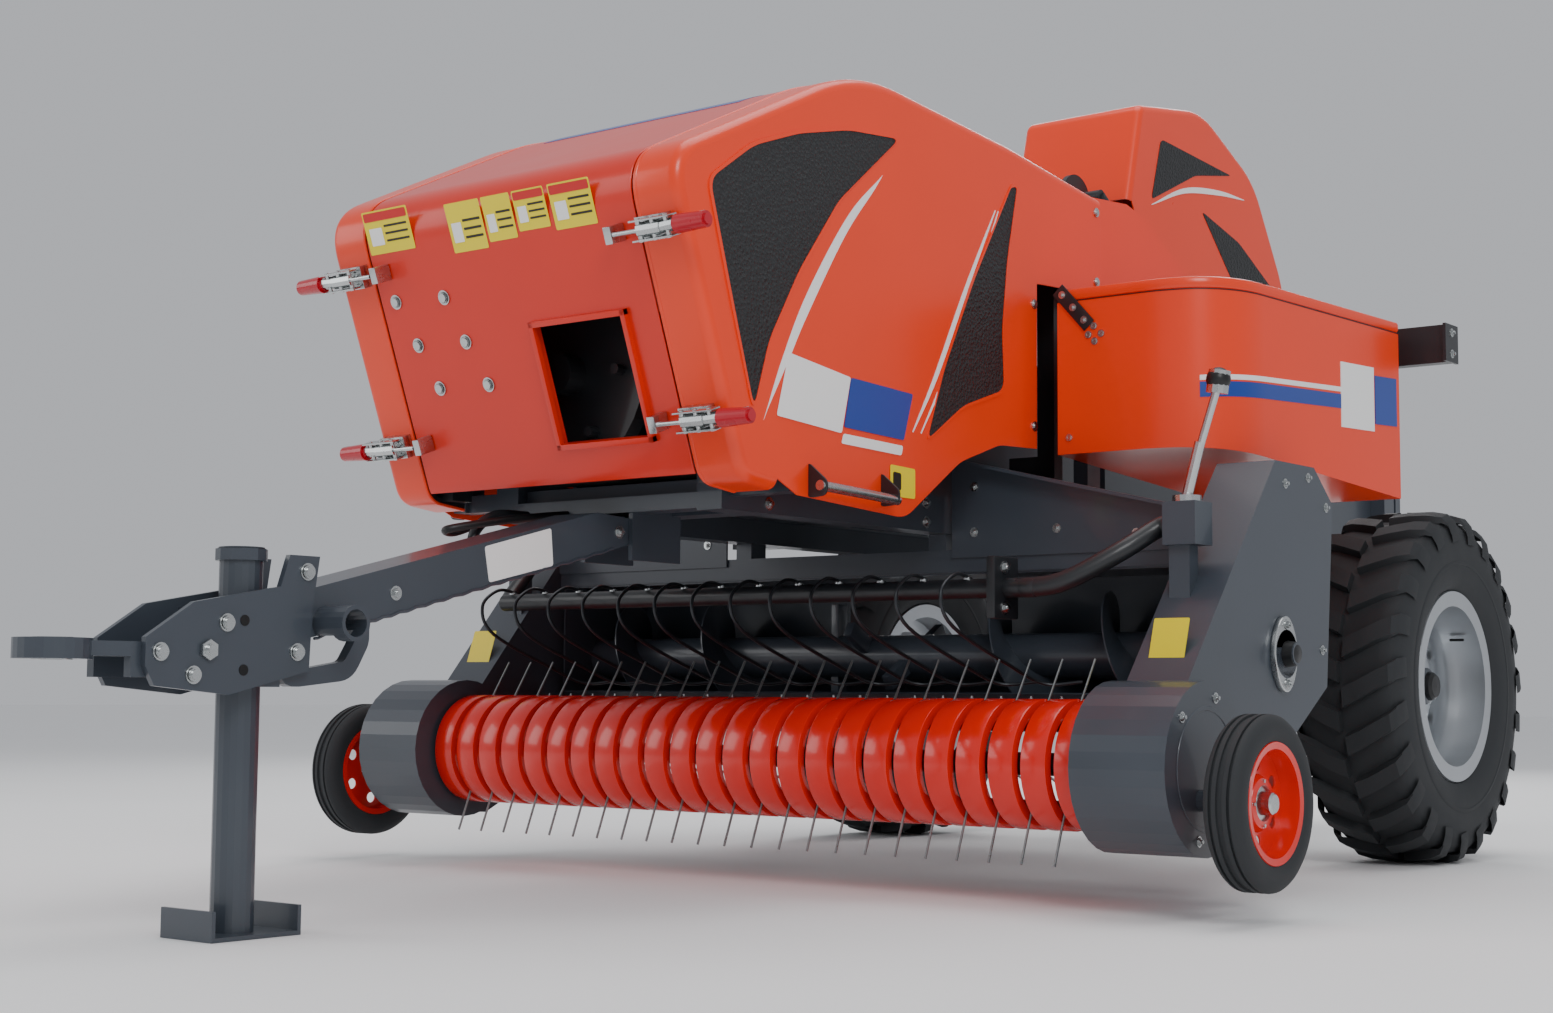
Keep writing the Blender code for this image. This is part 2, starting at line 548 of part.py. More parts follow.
def gearbox():
    pieces = [box((-0.16, 0.16), (-2.38, CHAMBER_FRONT - SEAT), (0.96, 1.28)),
              box((-mid_rail(), mid_rail()), (-2.29, CHAMBER_FRONT - SEAT), (RAIL_TOP + SEAT, 0.975)),
              rod((0, -2.42, 1.14), (0, -2.37, 1.14), 0.07, 20)]
    node("gearbox", "dark", pieces)


def mid_rail():
    return RAIL_IN + RAIL_W - 0.01


def flywheel():
    axis = empty("axis_flywheel", (0, -2.45, 1.14), ROOT)
    start = -2.42 - SEAT
    pieces = [rod((0, start - 0.05, 1.14), (0, start - 0.012, 1.14), 0.215, 36),
              rod((0, start - 0.10, 1.14), (0, start, 1.14), 0.045, 20)]
    for k in range(6):
        a = math.tau * k / 6
        x, z = 0.15 * math.cos(a), 1.14 + 0.15 * math.sin(a)
        pieces.append(rod((x, start - 0.075, z), (x, start - 0.045, z), 0.012, 8))
    node("flywheel", "dark", pieces, parent=axis)


# ---- Knotters ----
def knotter_stack():
    """Legs, shaft and mechanism block on the chamber's roof."""
    z = CHAMBER_TOP + SEAT
    x = KNOT_HALF - SHEET - SEAT
    pieces = []
    for s in (1, -1):
        pieces += [box(span(s, x - 0.025, x), (-0.05, 0.02), (z, 1.60)), box(span(s, x - 0.025, x), (0.60, 0.67), (z, 1.56)),
                   box(span(s, x - 0.025, x), (-0.05, 0.67), (1.52, 1.56)),
                   beam((s * (x - 0.012), 0.0, 1.56), (s * (x - 0.012), -0.50, 1.88), 0.022, 0.05)]
    pieces += [rod((-x + 0.01, 0.25, 1.54), (x - 0.01, 0.25, 1.54), 0.03, 12),
               rod((-0.12, -0.53, 1.98), (0.12, -0.53, 1.98), 0.13, 20),
               rod((-x + 0.005, -0.50, 1.88), (x - 0.005, -0.50, 1.88), 0.02, 8),
               box((-0.10, 0.10), (0.10, 0.40), (1.45, 1.72))]
    node("knotter_stack", "dark", pieces)


def knotter_hood():
    axis = empty("axis_knotter_hood", (0, KNOT_HINGE_Y, KNOT_LOW), ROOT)
    line = rounded([(-0.362, 1.90), (-0.285, 2.197), (0.11, 2.262), (0.46, 2.11), (0.665, 1.80), (KNOT_HINGE_Y, KNOT_LOW)],
                   [0.04, 0.30, 0.30, 0.3], 4)
    low = (-0.10, KNOT_LOW)
    hw = KNOT_HALF
    skin = plate(ribbon(line, 0, SHEET), "X", -hw, hw)
    sides = [plate(line + [low], "X", *span(s, hw - SHEET, hw)) for s in (1, -1)]
    node("knotter_hood", "orange", [skin] + sides, parent=axis)


# ---- Twine boxes ----
def box_outline(inset=0.0):
    i = inset
    line = rounded([(BOX_IN + i, BOX_FRONT + i), (BOX_OUT - 0.05 - i, BOX_FRONT + i), (BOX_OUT - i, BOX_REAR - i)],
                   [0.36], 6)
    return line + [(BOX_IN + i, BOX_REAR - i)]


def twine_box(s):
    flip = [(s * x, y) for x, y in box_outline()]
    inner = [(s * x, y) for x, y in box_outline(BOX_T)]
    wall = plate(flip, "Z", BOX_LOW_REAR - 0.04, BOX_TOP)
    slope = (BOX_LOW_REAR - BOX_LOW_FRONT) / (BOX_REAR - BOX_FRONT)
    low = [(BOX_FRONT - 0.1, BOX_LOW_FRONT - 0.1 * slope), (BOX_REAR + 0.1, BOX_LOW_REAR + 0.1 * slope)]
    below = plate([(low[0][0], 0.8), (low[1][0], 0.8), low[1], low[0]], "X", *span(s, 0.3, 1.3))
    hollow = joined([plate(inner, "Z", BOX_LOW_REAR - 0.1, BOX_TOP + 0.1)],
                    [plate([(low[0][0], 0.7), (low[1][0], 0.7), (low[1][0], low[1][1] + BOX_T),
                            (low[0][0], low[0][1] + BOX_T)], "X", *span(s, 0.3, 1.3))])
    node("twine_box_" + word(s), "orange", [wall], [below, helper(hollow)])
    axis = empty("axis_twine_lid_" + word(s), (s * 0.8, BOX_REAR, BOX_TOP + SEAT), ROOT)
    low_z = BOX_TOP + SEAT
    top = plate(flip, "Z", low_z, low_z + BOX_LID_H)
    room = plate([(s * x, y) for x, y in box_outline(0.012)], "Z", low_z - 0.01, low_z + BOX_LID_H - BOX_T)
    node("twine_lid_" + word(s), "orange", [top], [room], parent=axis)


def light_bar():
    y = (LIGHT_Y - 0.02, LIGHT_Y + 0.02)
    pieces = [box((-LIGHT_HALF, LIGHT_HALF), y, (LIGHT_LOW, LIGHT_HIGH))]
    for s in (1, -1):
        pieces += [box(span(s, 0.12, 0.18), y, (CHAMBER_TOP + SEAT, LIGHT_LOW + 0.01)),
                   box(span(s, LIGHT_HALF - 0.008, LIGHT_HALF), (y[0] - 0.025, y[1] + 0.02), (LIGHT_LOW, LIGHT_HIGH))]
    node("rear_light_bar", "dark", pieces)


# ---- Pickup, auger and windguard ----
def arc(y, z, r, start, end, steps):
    angles = [math.radians(start + (end - start) * k / steps) for k in range(steps + 1)]
    return [(y + r * math.cos(a), z + r * math.sin(a)) for a in angles]


def auger_housing():
    """Trough under the auger, rear wall with the feed throat, roof and bulkhead."""
    r = AUGER_R + 0.02
    t = HOUSING_T
    h = HOUSING_HALF
    under = arc(PIVOT_Y, PIVOT_Z, r, -150, 0, 12) + [(PIVOT_Y + r, 0.745), (-1.505, 0.745), (-1.505, 0.80)]
    sheet = plate(ribbon(under, 0, t), "X", -h, h)
    inner = RAIL_IN + RAIL_W + 0.015
    pieces = [sheet]
    for s in (1, -1):
        face = [(s * inner, 0.78), (s * h, 0.78), (s * h, 0.88), (s * 0.386, 1.015), (s * inner, 1.015)]
        pieces.append(plate(face, "Y", -1.511, -1.505))
        p, q = Vector((s * 0.386, -1.525, 1.012)), Vector((s * h, -1.525, 0.877))
        pieces.append(beam(p, q, 0.04, 0.008))
        disc = arc(PIVOT_Y, PIVOT_Z, r + t - 0.001, -150, 0, 12) + [(PIVOT_Y + r + t - 0.001, 0.75), (-1.49, 0.75)]
        pieces += [plate(disc, "X", *span(s, h - t, h)),
                   rod((s * (h - 0.002), PIVOT_Y, PIVOT_Z), (s * (CASE_IN - SEAT), PIVOT_Y, PIVOT_Z), 0.06, 20),
                   box(span(s, RAIL_IN + 0.01, RAIL_IN + RAIL_W - 0.01), (-1.50, -1.44), (0.745, RAIL_TOP - RAIL_H - SEAT))]
    pieces.append(box((-h, h), (-1.50, -1.45), (0.74, 0.79)))
    throat = box((-0.22, 0.22), (PIVOT_Y + 0.10, PIVOT_Y + 0.25), (0.52, 0.72))
    node("auger_housing", "grey", pieces, [throat])


def auger():
    axis = empty("axis_auger", (0, PIVOT_Y, PIVOT_Z), ROOT)
    end = HOUSING_HALF - HOUSING_T - SEAT
    pieces = [rod((-end, PIVOT_Y, PIVOT_Z), (end, PIVOT_Y, PIVOT_Z), AUGER_SHAFT_R, 20)]
    for s in (1, -1):
        for k in range(3):
            x = 0.36 + k * 0.22
            p = Vector((s * (x - 0.006), PIVOT_Y - 0.0, PIVOT_Z))
            lean = Vector((s, 0.28, 0.10 * (-1) ** k)).normalized()
            pieces.append(rod(p - lean * 0.004, p + lean * 0.004, AUGER_R - 0.006, 16))
    for k in range(3):
        a = math.radians(-60 + 120 * k)
        pieces.append(box((-0.012 + 0.12 * (k - 1), 0.012 + 0.12 * (k - 1)), (PIVOT_Y - 0.02, PIVOT_Y + 0.02),
                          (PIVOT_Z - 0.14, PIVOT_Z + 0.14)))
    node("auger", "grey", pieces, parent=axis)


def band_lines():
    """A band's outer line, from its lower rear end round the front to its upper rear end."""
    bottom = [(-1.585, 0.175), (REEL_Y + 0.02, REEL_Z - BAND_R)]
    around = arc(REEL_Y, REEL_Z, BAND_R, -92, -268, 9)
    return bottom[:1] + around + [(-1.545, REEL_Z + BAND_R - 0.004)]


def pickup():
    pivot = empty("axis_pickup", (0, PIVOT_Y, PIVOT_Z), ROOT)
    for s in (1, -1):
        pickup_side(s, pivot)
        gauge_wheel(s, pivot)
    pitch = 2 * (CASE_IN - 0.009) / (BANDS - 1 + BAND_FILL)
    width = pitch * BAND_FILL
    line = band_lines()
    outline = ribbon(line, 0, BAND_T)
    pieces = []
    end = CASE_IN - SEAT
    for y, z in ((-1.560, REEL_Z + BAND_R - 0.022), (-1.580, 0.165)):
        pieces.append(box((-end, end), (y - 0.02, y + 0.02), (z - 0.015, z + 0.015)))
    for k in range(BANDS):
        x = -(CASE_IN - 0.009) + k * pitch
        pieces.append(plate(outline, "X", x, x + width))
    node("stripper_bands", "red", pieces, parent=pivot)
    reel(pivot, pitch, width)
    windguard(pivot)


def reel(parent, pitch, width):
    axis = empty("axis_tine_reel", (0, REEL_Y, REEL_Z), parent)
    end = CASE_IN - SEAT
    pieces = [rod((-end, REEL_Y, REEL_Z), (end, REEL_Y, REEL_Z), 0.025, 12)]
    for bar_at, lean in ((-118, -118), (2, -30), (122, 52)):
        a, b = math.radians(bar_at), math.radians(lean)
        y, z = REEL_Y + BAR_R * math.cos(a), REEL_Z + BAR_R * math.sin(a)
        pieces.append(rod((-end + RUN, y, z), (end - RUN, y, z), 0.012, 8))
        d = (math.cos(b), math.sin(b))
        half = BAR_R * (math.cos(a) * d[0] + math.sin(a) * d[1])
        reach = -half + math.sqrt(half * half + (TINE_TIP_R - 0.002) ** 2 - BAR_R ** 2)
        for k in range(BANDS - 1):
            x = -(CASE_IN - 0.009) + k * pitch + width + (pitch - width) / 2
            pieces.append(rod((x, y - d[0] * 0.005, z - d[1] * 0.005), (x, y + d[0] * reach, z + d[1] * reach), TINE_R, 4))
        for x in (-end + 0.02, 0.0, end - 0.02):
            out = 1.0 + 0.008 / BAR_R
            tip = (x, REEL_Y + (y - REEL_Y) * out, REEL_Z + (z - REEL_Z) * out)
            pieces.append(beam((x, REEL_Y, REEL_Z), tip, 0.008, 0.034))
    node("tine_reel", "dark", pieces, parent=axis)


def pickup_side(s, parent):
    """Chain case with the drum's end cap, the gauge wheel's stub and the windguard's block."""
    case = [(-1.349, 0.985), (-1.145, 0.985), (-1.047, 0.905), (-1.09, 0.475), (-1.25, 0.375),
            (-1.76, 0.130), (-1.90, 0.136), (-2.0, 0.24), (-1.955, 0.268)]
    pieces = [plate(case, "X", *span(s, CASE_IN, CASE_OUT)),
              rod((s * CASE_IN, REEL_Y - 0.02, REEL_Z), (s * CAP_OUT, REEL_Y - 0.02, REEL_Z), CAP_R, 32),
              rod((s * (CAP_OUT - 0.01), GAUGE_Y, GAUGE_Z), (s * (GAUGE_X - 0.045 - SEAT), GAUGE_Y, GAUGE_Z), 0.022, 12),
              rod((s * (CASE_OUT - 0.005), PIVOT_Y, PIVOT_Z), (s * (CASE_OUT + 0.014), PIVOT_Y, PIVOT_Z), 0.055, 24),
              rod((s * CASE_OUT, PIVOT_Y, PIVOT_Z), (s * (CASE_OUT + 0.040), PIVOT_Y, PIVOT_Z), 0.026, 16),
              box(span(s, 0.995, 1.075), (GUARD_Y - 0.04, GUARD_Y + 0.04), (GUARD_Z - 0.045, GUARD_Z + 0.05)),
              box(span(s, 1.0, 1.05), (GUARD_Y - 0.02, GUARD_Y + 0.02), (0.60, GUARD_Z))]
    node("pickup_side_" + word(s), "grey", pieces, parent=parent)
    if s > 0:
        foot = GUARD_Z + 0.05 + SEAT
        pieces = [rod((1.035, GUARD_Y, foot), (1.035, GUARD_Y, foot + 0.014), 0.032, 16),
                  rod((1.035, GUARD_Y, foot + 0.012), (1.068, GUARD_Y, foot + 0.13), 0.012, 10),
                  rod((1.068, GUARD_Y, foot + 0.12), (1.112, GUARD_Y, foot + 0.25), 0.009, 10),
                  rod((1.110, GUARD_Y, foot + 0.235), (1.118, GUARD_Y, foot + 0.285), 0.024, 12)]
        node("guard_lever", "zinc", pieces, parent=parent)


def gauge_wheel(s, parent):
    at = (s * GAUGE_X, GAUGE_Y, GAUGE_Z)
    axis = empty("axis_gauge_wheel_" + word(s), at, parent)
    bead = GAUGE_W * 0.40
    tyre = [(bead, GAUGE_RIM_R + SEAT), (GAUGE_W * 0.5, 0.135), (GAUGE_W * 0.5, GAUGE_R - 0.014), (GAUGE_W * 0.38, GAUGE_R)]
    tyre += [(-x, y) for x, y in reversed(tyre)]
    node("gauge_tyre_" + word(s), "tyre", [turned(tyre, at, s)], parent=axis)
    r = GAUGE_RIM_R
    rim = [(0.034, 0), (0.034, 0.020), (0.012, 0.034), (0.004, 0.05), (-0.008, 0.08), (-0.006, r - 0.006),
           (bead, r - 0.006), (bead, r), (-bead, r), (-bead, r - 0.006), (-0.016, r - 0.006), (-0.016, 0.05),
           (-0.045, 0.03), (-0.045, 0)]
    node("gauge_rim_" + word(s), "red", [turned(rim, at, s)], parent=axis)


def wire_line(x):
    """One guard wire: hooked over the tube, looped forward, then back over the bands."""
    y, z, r = GUARD_TUBE_Y, GUARD_TUBE_Z, GUARD_TUBE_R
    return [(x, y, z + r - 0.001), (x + 0.004, y - 0.06, z + 0.030), (x + 0.007, y - 0.12, z - 0.015),
            (x + 0.016, y - 0.085, z - 0.088), (x + 0.050, y + 0.105, z - 0.175),
            (x + 0.090, y + 0.185, z - 0.213), (x + 0.165, y + 0.225, z - 0.208)]


def windguard(parent):
    axis = empty("axis_windguard", (0, GUARD_Y, GUARD_Z), parent)
    y, z = GUARD_TUBE_Y, GUARD_TUBE_Z
    inner = 0.995 - SEAT
    left = tube([(-0.93, y, z), (0.70, y, z), (0.80, y + 0.01, z + 0.01), (0.94, GUARD_Y - 0.03, GUARD_Z - 0.02),
                 (0.965, GUARD_Y, GUARD_Z), (inner, GUARD_Y, GUARD_Z)], GUARD_TUBE_R, 2)
    right = tube([(-0.90, y, z), (-0.945, y + 0.02, z + 0.01), (-0.960, GUARD_Y, GUARD_Z),
                  (-inner, GUARD_Y, GUARD_Z)], GUARD_TUBE_R * 0.9, 2)
    lug = box((0.640, 0.664), (y - 0.05, y + 0.05), (z - 0.07, z + 0.07))
    wires = []
    for k in range(GUARD_WIRES):
        wires.append(tube(wire_line(-0.90 + k * 1.46 / (GUARD_WIRES - 1)), 0.0045, 0))
    node("windguard", "dark", [left, right, lug] + wires, parent=axis)


for side in (1, -1):
    main_wheel(side)
    twine_box(side)
main_frame()
axle()
chamber()
plunger()
tension_hoop()
drawbar()
hitch_head()
hitch_eye()
jack()
hood()
gearbox()
flywheel()
knotter_stack()
knotter_hood()
light_bar()
auger_housing()
auger()
pickup()
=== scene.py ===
"""Looks of the square baler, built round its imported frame."""
import math
from itertools import product

import bmesh
import bpy
from mathutils import Euler, Matrix, Vector


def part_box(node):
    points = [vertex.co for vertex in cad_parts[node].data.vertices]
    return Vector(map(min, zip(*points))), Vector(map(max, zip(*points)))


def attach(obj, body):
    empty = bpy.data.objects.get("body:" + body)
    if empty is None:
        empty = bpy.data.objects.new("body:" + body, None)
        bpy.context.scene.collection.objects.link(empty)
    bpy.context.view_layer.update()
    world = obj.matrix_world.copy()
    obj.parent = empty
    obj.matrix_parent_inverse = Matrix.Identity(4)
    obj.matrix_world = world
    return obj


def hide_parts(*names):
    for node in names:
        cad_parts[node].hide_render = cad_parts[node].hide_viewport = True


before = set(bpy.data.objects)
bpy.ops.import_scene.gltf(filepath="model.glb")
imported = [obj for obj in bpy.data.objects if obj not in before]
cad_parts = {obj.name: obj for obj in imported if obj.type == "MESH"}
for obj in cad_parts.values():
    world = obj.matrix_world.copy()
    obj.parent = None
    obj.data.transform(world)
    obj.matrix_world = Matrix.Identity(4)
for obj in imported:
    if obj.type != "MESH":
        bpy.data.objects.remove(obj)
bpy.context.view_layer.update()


def centre(node):
    low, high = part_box(node)
    return (Vector(low) + Vector(high)) / 2


Y0 = centre("axle_beam").y
SIDES = (("left", 1), ("right", -1))
LOOKS = bpy.data.collections.new("looks")
bpy.context.scene.collection.children.link(LOOKS)


# ---- Materials ----
def linear(code):
    values = [int(code[i:i + 2], 16) / 255 for i in (0, 2, 4)]
    return [v / 12.92 if v < 0.04045 else ((v + 0.055) / 1.055) ** 2.4 for v in values] + [1.0]


def material(name, code, rough, metal=0.0, coat=0.0, vary=0.10, scale=6.0, bump=0.02, fine=220.0,
             weave=0.0):
    """A Principled surface whose colour, gloss and relief follow noise in object space."""
    mat = bpy.data.materials.new(name)
    mat.use_nodes = True
    tree = mat.node_tree
    shader = tree.nodes["Principled BSDF"]
    new, link = tree.nodes.new, tree.links.new
    place = new("ShaderNodeTexCoord")
    noise = new("ShaderNodeTexNoise")
    noise.inputs["Scale"].default_value, noise.inputs["Detail"].default_value = scale, 6.0
    link(place.outputs["Object"], noise.inputs["Vector"])
    mix = new("ShaderNodeMix")
    mix.data_type = "RGBA"
    base = linear(code)[:3]
    mix.inputs["A"].default_value = [v * (1 - vary) for v in base] + [1]
    mix.inputs["B"].default_value = [min(1, v * (1 + vary) + 0.004) for v in base] + [1]
    link(noise.outputs["Fac"], mix.inputs["Factor"])
    link(mix.outputs["Result"], shader.inputs["Base Color"])
    gloss = new("ShaderNodeMapRange")
    gloss.inputs["To Min"].default_value = rough * 0.8
    gloss.inputs["To Max"].default_value = rough * 1.25
    link(noise.outputs["Fac"], gloss.inputs["Value"])
    link(gloss.outputs["Result"], shader.inputs["Roughness"])
    grain = new("ShaderNodeTexVoronoi" if weave else "ShaderNodeTexNoise")
    grain.inputs["Scale"].default_value = weave or fine
    link(place.outputs["Object"], grain.inputs["Vector"])
    relief = new("ShaderNodeBump")
    relief.inputs["Strength"].default_value = 1.0 if weave else bump
    relief.inputs["Distance"].default_value = 0.004 if weave else 0.002
    link(grain.outputs["Distance" if weave else "Fac"], relief.inputs["Height"])
    link(relief.outputs["Normal"], shader.inputs["Normal"])
    shader.inputs["Metallic"].default_value = metal
    shader.inputs["Coat Weight"].default_value = coat
    shader.inputs["Coat Roughness"].default_value = 0.08
    return mat


M = {
    "orange": material("orange gloss paint", "F43A00", 0.30, coat=0.12, vary=0.05, scale=3, bump=0.03),
    "hood_red": material("red-orange gloss paint", "DC2200", 0.30, coat=0.12, vary=0.05, scale=3, bump=0.03),
    "band": material("scarlet gloss paint", "E01600", 0.24, coat=0.35, vary=0.07, scale=9, bump=0.03),
    "grey": material("anthracite powder-coated steel", "3B424B", 0.36, coat=0.25, vary=0.14, scale=5, bump=0.05),
    "dark": material("black powder-coated steel", "181B1F", 0.42, coat=0.15, vary=0.2, scale=8, bump=0.06),
    "wire": material("oil-blackened spring steel", "33363A", 0.33, metal=0.6, vary=0.2, scale=20),
    "steel": material("bright spring steel", "9A9C9C", 0.28, metal=1.0, vary=0.15, scale=40),
    "zinc": material("zinc-plated steel", "C3C6C6", 0.26, metal=1.0, vary=0.12, scale=30),
    "silver": material("silver rim paint", "B9BDC1", 0.30, metal=0.75, coat=0.2, vary=0.06, scale=8),
    "rubber": material("tyre rubber", "26292C", 0.72, vary=0.22, scale=12, bump=0.25, fine=420),
    "plastic": material("black moulded plastic", "111214", 0.4, vary=0.2, bump=0.08),
    "grip": material("red vinyl grip", "B80420", 0.28, coat=0.3, vary=0.08, scale=25),
    "mesh": material("black expanded-metal grille", "1B1D1F", 0.5, vary=0.3, scale=60, weave=130),
    "white": material("white vinyl decal", "F4F4F2", 0.35, vary=0.02),
    "yellow": material("yellow vinyl label", "F2DC10", 0.38, vary=0.03),
    "blue": material("blue vinyl decal", "0B3B98", 0.32, coat=0.2, vary=0.06),
    "label_red": material("red vinyl decal", "D01414", 0.35, vary=0.05),
    "ink": material("black vinyl print", "16150F", 0.45, vary=0.1),
    # Near-black painted shade, laid on discs that stand for holes which are not cut
    "hole_shade": material("painted hole shade", "08090A", 0.8, vary=0.2),
}


# ---- Building ----
def make(name, mesh, mat, body, replaces=(), sharp=32):
    """One piece of the look, riding a body."""
    mesh.materials.clear()
    mesh.materials.append(M[mat])
    mesh.shade_smooth()
    mesh.set_sharp_from_angle(angle=math.radians(sharp))
    obj = bpy.data.objects.new(name, mesh)
    LOOKS.objects.link(obj)
    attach(obj, body)
    if replaces:
        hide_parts(*replaces)


def mesh_of(bm, name="piece"):
    bmesh.ops.recalc_face_normals(bm, faces=bm.faces)
    mesh = bpy.data.meshes.new(name)
    bm.to_mesh(mesh)
    bm.free()
    return mesh


def evaluated(obj):
    bpy.context.view_layer.update()
    graph = bpy.context.evaluated_depsgraph_get()
    mesh = bpy.data.meshes.new_from_object(obj.evaluated_get(graph))
    mesh.transform(obj.matrix_world)
    bpy.data.objects.remove(obj, do_unlink=True)
    return mesh


def merged(meshes):
    bm = bmesh.new()
    for mesh in meshes:
        bm.from_mesh(mesh)
    out = bpy.data.meshes.new("piece")
    bm.to_mesh(out)
    bm.free()
    return out


def block(x, y, z, bevel=0.002, place=None):
    bm = bmesh.new()
    bmesh.ops.create_cube(bm, size=1.0)
    bmesh.ops.scale(bm, vec=(x[1] - x[0], y[1] - y[0], z[1] - z[0]), verts=bm.verts)
    bmesh.ops.translate(bm, vec=[(a[0] + a[1]) / 2 for a in (x, y, z)], verts=bm.verts)
    if bevel:
        bmesh.ops.bevel(bm, geom=bm.edges[:], offset=bevel, segments=2, affect="EDGES", profile=0.6)
    if place:
        bmesh.ops.transform(bm, matrix=place, verts=bm.verts)
    return mesh_of(bm)


def rod(p, q, r, sides=24, r2=None, bevel=0.0):
    p, q = Vector(p), Vector(q)
    bm = bmesh.new()
    bmesh.ops.create_cone(bm, cap_ends=True, segments=sides, radius1=r, radius2=r if r2 is None else r2,
                          depth=(q - p).length)
    if bevel:
        rims = [e for e in bm.edges if abs(e.verts[0].co.z - e.verts[1].co.z) < 1e-6]
        bmesh.ops.bevel(bm, geom=rims, offset=bevel, segments=2, affect="EDGES")
    turn = (q - p).to_track_quat("Z", "Y").to_matrix().to_4x4()
    bmesh.ops.transform(bm, matrix=Matrix.Translation((p + q) / 2) @ turn, verts=bm.verts)
    return mesh_of(bm)


def smooth_path(points, steps=6):
    """Catmull-Rom points through the given ones."""
    pts = [Vector(p) for p in points]
    pts = [pts[0] * 2 - pts[1]] + pts + [pts[-1] * 2 - pts[-2]]
    out = []
    for i in range(1, len(pts) - 2):
        a, b, c, d = pts[i - 1:i + 3]
        for k in range(steps):
            t = k / steps
            out.append(0.5 * (2 * b + (c - a) * t + (2 * a - 5 * b + 4 * c - d) * t * t
                              + (3 * b - a - 3 * c + d) * t ** 3))
    return out + [pts[-2]]


def tube(points, r, fine=2):
    curve = bpy.data.curves.new("path", "CURVE")
    curve.dimensions = "3D"
    curve.bevel_depth, curve.bevel_resolution, curve.use_fill_caps = r, fine, True
    spline = curve.splines.new("POLY")
    spline.points.add(len(points) - 1)
    for point, place in zip(spline.points, points):
        point.co = (*place, 1)
    obj = bpy.data.objects.new("path", curve)
    LOOKS.objects.link(obj)
    return evaluated(obj)


AXES = {"X": Matrix(((0, 0, 1, 0), (1, 0, 0, 0), (0, 1, 0, 0), (0, 0, 0, 1))),
        "Y": Matrix(((1, 0, 0, 0), (0, 0, -1, 0), (0, 1, 0, 0), (0, 0, 0, 1))), "Z": Matrix.Identity(4)}


def plate(outlines, axis, low, high, bevel=0.0, place=None):
    """A flat outline, with later outlines as its holes, filled between low and high."""
    curve = bpy.data.curves.new("outline", "CURVE")
    curve.dimensions, curve.fill_mode = "2D", "BOTH"
    curve.extrude = (high - low) / 2 - bevel
    curve.bevel_depth, curve.bevel_resolution, curve.offset = bevel, 1, -bevel
    for outline in outlines:
        spline = curve.splines.new("POLY")
        spline.points.add(len(outline) - 1)
        for point, (u, v) in zip(spline.points, outline):
            point.co = (u, v, 0, 1)
        spline.use_cyclic_u = True
    obj = bpy.data.objects.new("outline", curve)
    LOOKS.objects.link(obj)
    shift = {"X": (1, 0, 0), "Y": (0, 1, 0), "Z": (0, 0, 1)}[axis]
    obj.matrix_world = (place or Matrix.Identity(4)) @ Matrix.Translation(
        Vector(shift) * (low + high) / 2) @ AXES[axis]
    return evaluated(obj)


def loft(rows, around=False):
    """Rings of points joined in order, and either capped or joined round into a loop."""
    bm = bmesh.new()
    rings = [[bm.verts.new(point) for point in row] for row in rows]
    count = len(rings[0])
    for a, b in zip(rings, rings[1:] + (rings[:1] if around else [])):
        for i in range(count):
            j = (i + 1) % count
            bm.faces.new((a[i], a[j], b[j], b[i]))
    if not around:
        bm.faces.new(rings[0][::-1])
        bm.faces.new(rings[-1])
    return bm


def turned(profile, at, side=1, steps=96):
    """A closed (x, radius) profile turned about X."""
    angles = [math.tau * k / steps for k in range(steps)]
    bm = loft([[(at[0] + side * x, at[1] + r * math.cos(a), at[2] + r * math.sin(a)) for x, r in profile]
               for a in angles], around=True)
    bmesh.ops.remove_doubles(bm, verts=bm.verts, dist=1e-5)
    return mesh_of(bm)


def rounded(points, radii, steps=5):
    out = [Vector(points[0])]
    for i in range(1, len(points) - 1):
        a, b, c = (Vector(points[j]) for j in (i - 1, i, i + 1))
        u, v = (a - b).normalized(), (c - b).normalized()
        half = u.angle(v) / 2
        cut = min(radii[i - 1] / math.tan(half), (a - b).length * 0.48, (c - b).length * 0.48)
        p, q = b + u * cut, b + v * cut
        for k in range(steps + 1):
            t = k / steps
            out.append(p * (1 - t) ** 2 + b * 2 * t * (1 - t) + q * t ** 2)
    return [tuple(p) for p in out + [Vector(points[-1])]]


def soft(points, radius, steps=4):
    """A closed outline with every corner rounded."""
    n = len(points)
    out = []
    for i in range(n):
        a, b, c = (Vector(points[j % n]) for j in (i - 1, i, i + 1))
        u, v = (a - b), (c - b)
        cut = min(radius, u.length * 0.45, v.length * 0.45)
        p, q = b + u.normalized() * cut, b + v.normalized() * cut
        for k in range(steps + 1):
            t = k / steps
            out.append(tuple(p * (1 - t) ** 2 + b * 2 * t * (1 - t) + q * t ** 2))
    return out


def normals(line):
    out = []
    for i in range(len(line)):
        a, b = Vector(line[max(i - 1, 0)]), Vector(line[min(i + 1, len(line) - 1)])
        d = (b - a).normalized()
        out.append(Vector((-d.y, d.x)))
    return out


def sweep(section, line):
    """A closed section of (x, outward) points carried along a line in Y and Z."""
    return mesh_of(loft([[(x, y + n.x * d, z + n.y * d) for x, d in section]
                         for (y, z), n in zip(line, normals(line))]))


